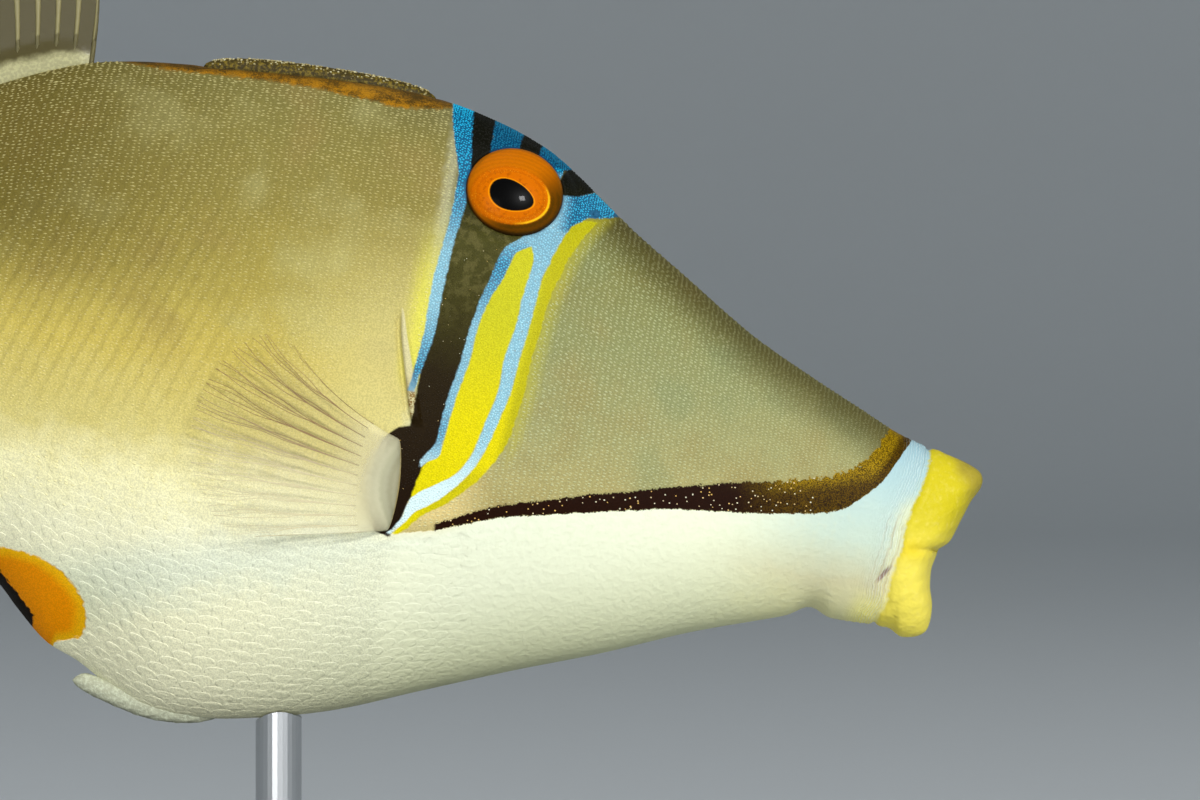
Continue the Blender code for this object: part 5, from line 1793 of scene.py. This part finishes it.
class PICASSOFISH_OT_fins(bpy.types.Operator):
    """Model the fins' webs and branched rays."""

    bl_idname = "picassofish.fins"
    bl_label = "Fins"

    def execute(self, context):
        pale = pectoral_material()
        olive = membrane_material("median_web", (0.075, 0.060, 0.014), (0.30, 0.285, 0.14), 0.78)
        tan = membrane_material("tail_web", (0.52, 0.36, 0.14), (0.40, 0.34, 0.16), 0.62)
        brown = ray_material("pectoral_rays", (0.27, 0.16, 0.06), (0.70, 0.62, 0.38))
        horn = ray_material("median_rays", (0.24, 0.21, 0.09), (0.26, 0.22, 0.09))
        dorsal = median_fin(
            TOP, SECOND_DORSAL_BASE, SECOND_DORSAL_LENGTH, SECOND_DORSAL_LEAN, 1.0, 2.2, 1.1, 0.1)
        anal = median_fin(BOTTOM, ANAL_BASE, ANAL_LENGTH, ANAL_LEAN, -1.0, 2.0, 1.1, 0.35)
        rows = [
            ("second_dorsal_fin", dorsal, 24, 4, (0.42, 0.16), 2.2, 0.2, olive, horn),
            ("anal_fin", anal, 22, 4, (0.42, 0.16), 2.2, 0.22, olive, horn),
            ("caudal_fin", caudal_fin, 12, 8, (0.55, 0.18), 2.4, 0.24, tan, horn),
            ("pectoral_fin_left", pectoral_fin(1), 13, 4, (0.065, 0.036), 2.4, 0.2, pale, brown),
            ("pectoral_fin_right", pectoral_fin(-1), 13, 4, (0.065, 0.036), 2.4, 0.2, pale, brown),
        ]
        for node, point, rays, splits, radii, flesh, flesh_end, web, ray in rows:
            membrane(node + "_web", point, rays, flesh, flesh_end, web, node)
            start, wave = (0.2, 0.006) if ray is brown else (0.05, 0.0)
            fin_rays(node + "_rays", point, rays, splits, radii, ray, node, start, wave)
        return {"FINISHED"}


class PICASSOFISH_OT_spines(bpy.types.Operator):
    """Model the folded dorsal spine, the pelvic spine and the tail's rows of spines."""

    bl_idname = "picassofish.spines"
    bl_label = "Spines"

    def execute(self, context):
        self.blade()
        self.pelvic()
        self.tail_rows()
        return {"FINISHED"}

    def bar(self, name, path, material, node, furrow):
        """A bar along (s, h, half thickness, half height) stops, with shallow furrows."""
        mesh = rod(*BAR_GRID)
        local = template_points(mesh)
        first, last = path[0][0], path[-1][0]
        s = first + (last - first) * local[:, 2]
        h, wide, high = [along(path, s, column) for column in (1, 2, 3)]
        angle = np.arctan2(local[:, 1], local[:, 0])
        round_end = np.sqrt(np.clip(1.0 - (2.0 * local[:, 2] - 1.0) ** 24, 0.0, 1.0))
        swell = (1.0 + furrow * np.sin(angle * 8.0) * np.sin(s * 2.1 + angle)) * round_end
        points = to_world(s, np.cos(angle) * wide * swell, h + np.sin(angle) * high * swell)
        move_verts(mesh, points)
        bmesh.ops.recalc_face_normals(mesh, faces=mesh.faces[:])
        piece = new_mesh(name, mesh, material)
        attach(piece, BODY)
        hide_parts(node)

    def scute_material(self, name, ground, light):
        """Rough granular skin over a spine."""
        paint = Paint(name)
        place = fish_place(paint)
        grain = paint.spots(place, 2.2, 3.0, 0.6)
        colour = paint.blend(paint.step(grain, 0.42, 0.68), ground, light)
        normal = paint.bump(grain, 0.0002, 0.7)
        return paint.finish(0.15, base_color=colour, roughness=0.5, normal=normal)

    def blade(self):
        """The first dorsal spine folded into its groove, with pale granules."""
        path = []
        for s, rise, half in FIRST_DORSAL:
            top = float(along(TOP, s)) + rise
            low = float(along(TOP, s)) - FIRST_DORSAL_ROOT
            path.append((s, (top + low) / 2.0, half, (top - low) / 2.0))
        skin = self.scute_material("dorsal_spine", (0.040, 0.028, 0.004), (0.17, 0.12, 0.012))
        self.bar("first_dorsal_spine", path, skin, "first_dorsal_fin", 0.05)
        draw = draws("dorsal")
        count = DORSAL_GRANULES
        s = draw.uniform(81.0, 111.5, count)
        angle = draw.normal(0.0, 0.55, count)
        h, wide, high = [along(path, s, column) for column in (1, 2, 3)]
        point = to_world(s, np.sin(angle) * wide, h + np.cos(angle) * high)
        rear = np.tile(direction(1.0, 0.0, 0.0), (count, 1))
        out = direction(0.0 * s, np.sin(angle), np.cos(angle))
        aside = np.cross(out, rear)
        size = np.array(DORSAL_GRANULE) * draw.normal(1.0, 0.2, (count, 1))
        share = np.full(count, 0.5) + angle * 0.004
        where = (station_share(s), share, point, rear, aside, out, np.ones((count, 2)))
        pale = self.scute_material("dorsal_granules", (0.30, 0.24, 0.09), (0.58, 0.56, 0.36))
        strew("first_dorsal_granules", dome(5), where, size, pale, fields=False)

    def pelvic(self):
        """The blunt pelvic spine with its scutes."""
        path = [(s, h + 0.45 * r, r, 1.45 * r) for s, h, r in PELVIC_SPINE]
        skin = self.scute_material("pelvic_skin", (0.37, 0.38, 0.27), (0.50, 0.53, 0.385))
        self.bar("pelvic_spine_bar", path, skin, "pelvic_spine", 0.07)

    def tail_rows(self):
        """Forward-curved black spines in rows on both sides of the tail."""
        template = rod(*SPINE_GRID)
        local = template_points(template)
        feet = []
        for first, last, count, share in SPINE_ROWS:
            for number in range(count):
                s = first + (last - first) * number / (count - 1)
                low = float(along(BOTTOM, s))
                h = low + (float(along(TOP, s)) - low) * share
                for side in (1, -1):
                    feet.append((s, side, h))
        s, side, h = np.array(feet).T
        flank = body_side(s, h)
        slope = (body_side(s, h + 1.0) - body_side(s, h - 1.0)) / 2.0
        foot = to_world(s, side * flank, h)
        fore = direction(-1.0, 0.0, 0.0)
        out = direction(0.0 * s, side, -slope)
        across = np.cross(out, fore[None])
        v = local[:, 2][None, :, None]
        lean = SPINE_FORWARD * (0.6 + 0.8 * v)
        reach = (SPINE_LENGTH * v - SPINE_SINK) * MM
        aim = out[:, None] * np.cos(lean) + fore * np.sin(lean)
        ahead = fore * np.cos(lean) - out[:, None] * np.sin(lean)
        radius = SPINE_RADIUS * (1.0 - v) ** 0.85 * MM
        points = foot[:, None] + aim * reach + across[:, None] * radius * local[None, :, 0:1]
        points = points + ahead * radius * local[None, :, 1:2] * 1.3
        paint = Paint("tail_spines")
        grain = paint.spots(fish_place(paint), 3.0, 2.0)
        colour = paint.blend(grain * 0.5, (0.016, 0.014, 0.012), (0.05, 0.04, 0.03))
        skin = paint.finish(
            base_color=colour, roughness=0.32, normal=paint.bump(grain, 0.00006, 0.5))
        piece = new_mesh("tail_spine_rows", copies(template, len(feet)), skin)
        set_points(piece.data, points)
        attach(piece, BODY)


class PICASSOFISH_OT_stand(bpy.types.Operator):
    """Finish the stand: black acrylic base and brushed steel rod."""

    bl_idname = "picassofish.stand"
    bl_label = "Stand"

    def execute(self, context):
        paint = Paint("stand_acrylic")
        place = paint.add("ShaderNodeTexCoord", output="Object")
        haze = paint.spots(place, 90.0, 3.0)
        colour = paint.blend(haze * 0.3, (0.012, 0.012, 0.014), (0.03, 0.03, 0.034))
        rough = 0.16 + haze * 0.14
        acrylic = paint.finish(base_color=colour, roughness=rough, normal=paint.bump(haze, 0.00002))
        paint = Paint("stand_steel")
        place = paint.add("ShaderNodeTexCoord", output="Object")
        stretched = paint.add(
            "ShaderNodeMapping", None, {"Vector": place, "Scale": (900.0, 900.0, 14.0)})
        brush = paint.spots(stretched, 1.0, 3.0)
        colour = paint.blend(brush * 0.4, (0.60, 0.61, 0.62), (0.42, 0.43, 0.44))
        paint.shader.inputs["Metallic"].default_value = 1.0
        steel = paint.finish(
            base_color=colour, roughness=0.24 + brush * 0.18, normal=paint.bump(brush, 0.00003, 0.4))
        for node, finish in (("stand_base", acrylic), ("stand_rod", steel)):
            solid = bpy.data.objects[node]
            for slot in solid.material_slots:
                slot.material = finish
        return {"FINISHED"}


class PICASSOFISH_OT_stage(bpy.types.Operator):
    """Set the camera, the pale floor and the soft lights."""

    bl_idname = "picassofish.stage"
    bl_label = "Stage"

    def execute(self, context):
        look = context.scene.picassofish_stage
        scene = context.scene
        scene.view_settings.view_transform = "Standard"
        self.camera(scene, look)
        self.floor(look)
        for name, place, size in LIGHTS:
            self.light(name, place, size, getattr(look, name + "_power"))
        world = bpy.data.worlds.new("studio")
        world.use_nodes = True
        back = world.node_tree.nodes["Background"]
        back.inputs["Color"].default_value = (0.93, 0.97, 1.0, 1.0)
        back.inputs["Strength"].default_value = look.ambient
        scene.world = world
        return {"FINISHED"}

    def camera(self, scene, look):
        """The camera, square to the fish's right side."""
        data = bpy.data.cameras.new("camera")
        data.lens = look.lens
        camera = bpy.data.objects.new("camera", data)
        away = look.frame_width * look.lens / data.sensor_width
        camera.location = (MOUTH.x + look.aim[0], -away, MOUTH.z + look.aim[1])
        camera.rotation_euler = (math.radians(90.0), 0.0, 0.0)
        scene.collection.objects.link(camera)
        scene.camera = camera

    def floor(self, look):
        """A round pale floor that curves up into a wall."""
        floor = bmesh.new()
        last = floor.verts.new((0.0, 0.0, 0.0))
        for radius, height in FLOOR_PROFILE:
            last = bmesh.ops.extrude_vert_indiv(floor, verts=[last])["verts"][0]
            last.co = (radius, 0.0, height)
        bmesh.ops.spin(
            floor, geom=floor.verts[:] + floor.edges[:], cent=(0, 0, 0), axis=(0, 0, 1),
            angle=2.0 * math.pi, steps=96, use_merge=True)
        bmesh.ops.remove_doubles(floor, verts=floor.verts[:], dist=1e-5)
        bmesh.ops.recalc_face_normals(floor, faces=floor.faces[:])
        bmesh.ops.reverse_faces(floor, faces=floor.faces[:])
        paint = Paint("floor")
        grain = paint.spots(paint.add("ShaderNodeTexCoord", output="Object"), 60.0, 2.0)
        tone = paint.blend(grain * 0.06, tuple(look.floor_colour), (0.5, 0.5, 0.5))
        piece = new_mesh("floor", floor, paint.finish(base_color=tone, roughness=0.75))

    def light(self, name, place, size, power):
        """A square soft light that faces the fish."""
        data = bpy.data.lights.new(name, "AREA")
        data.size = size
        data.energy = power
        lamp = bpy.data.objects.new(name, data)
        lamp.location = place
        aim = Vector(LIGHT_AIM) - Vector(place)
        lamp.rotation_euler = aim.to_track_quat("-Z", "Y").to_euler()
        bpy.context.scene.collection.objects.link(lamp)


class PICASSOFISH_PT_panel(bpy.types.Panel):
    """Lists the pieces of the fish."""

    bl_label = "Picassofish"
    bl_space_type = "VIEW_3D"
    bl_region_type = "UI"
    bl_category = "Picassofish"

    def draw(self, context):
        for step in STEPS:
            self.layout.operator(step.bl_idname)


STEPS = (
    PICASSOFISH_OT_stage,
    PICASSOFISH_OT_skin,
    PICASSOFISH_OT_eyes,
    PICASSOFISH_OT_granules,
    PICASSOFISH_OT_scales,
    PICASSOFISH_OT_fins,
    PICASSOFISH_OT_spines,
    PICASSOFISH_OT_stand,
)
GROUPS = {
    "picassofish_skin": PicassofishSkin,
    "picassofish_eyes": PicassofishEyes,
    "picassofish_scales": PicassofishScales,
    "picassofish_stage": PicassofishStage,
}


def register():
    """Register the groups, the operators and the panel."""
    for name, group in GROUPS.items():
        bpy.utils.register_class(group)
        setattr(bpy.types.Scene, name, PointerProperty(type=group))
    for step in STEPS:
        bpy.utils.register_class(step)
    bpy.utils.register_class(PICASSOFISH_PT_panel)


def unregister():
    """Take the classes back out."""
    bpy.utils.unregister_class(PICASSOFISH_PT_panel)
    for step in reversed(STEPS):
        bpy.utils.unregister_class(step)
    for name, group in GROUPS.items():
        delattr(bpy.types.Scene, name)
        bpy.utils.unregister_class(group)


def main():
    """Make every piece in order."""
    register()
    bpy.ops.picassofish.stage()
    bpy.ops.picassofish.skin()
    bpy.ops.picassofish.eyes()
    bpy.ops.picassofish.granules()
    bpy.ops.picassofish.scales()
    bpy.ops.picassofish.fins()
    bpy.ops.picassofish.spines()
    bpy.ops.picassofish.stand()


if __name__ == "__main__":
    main()
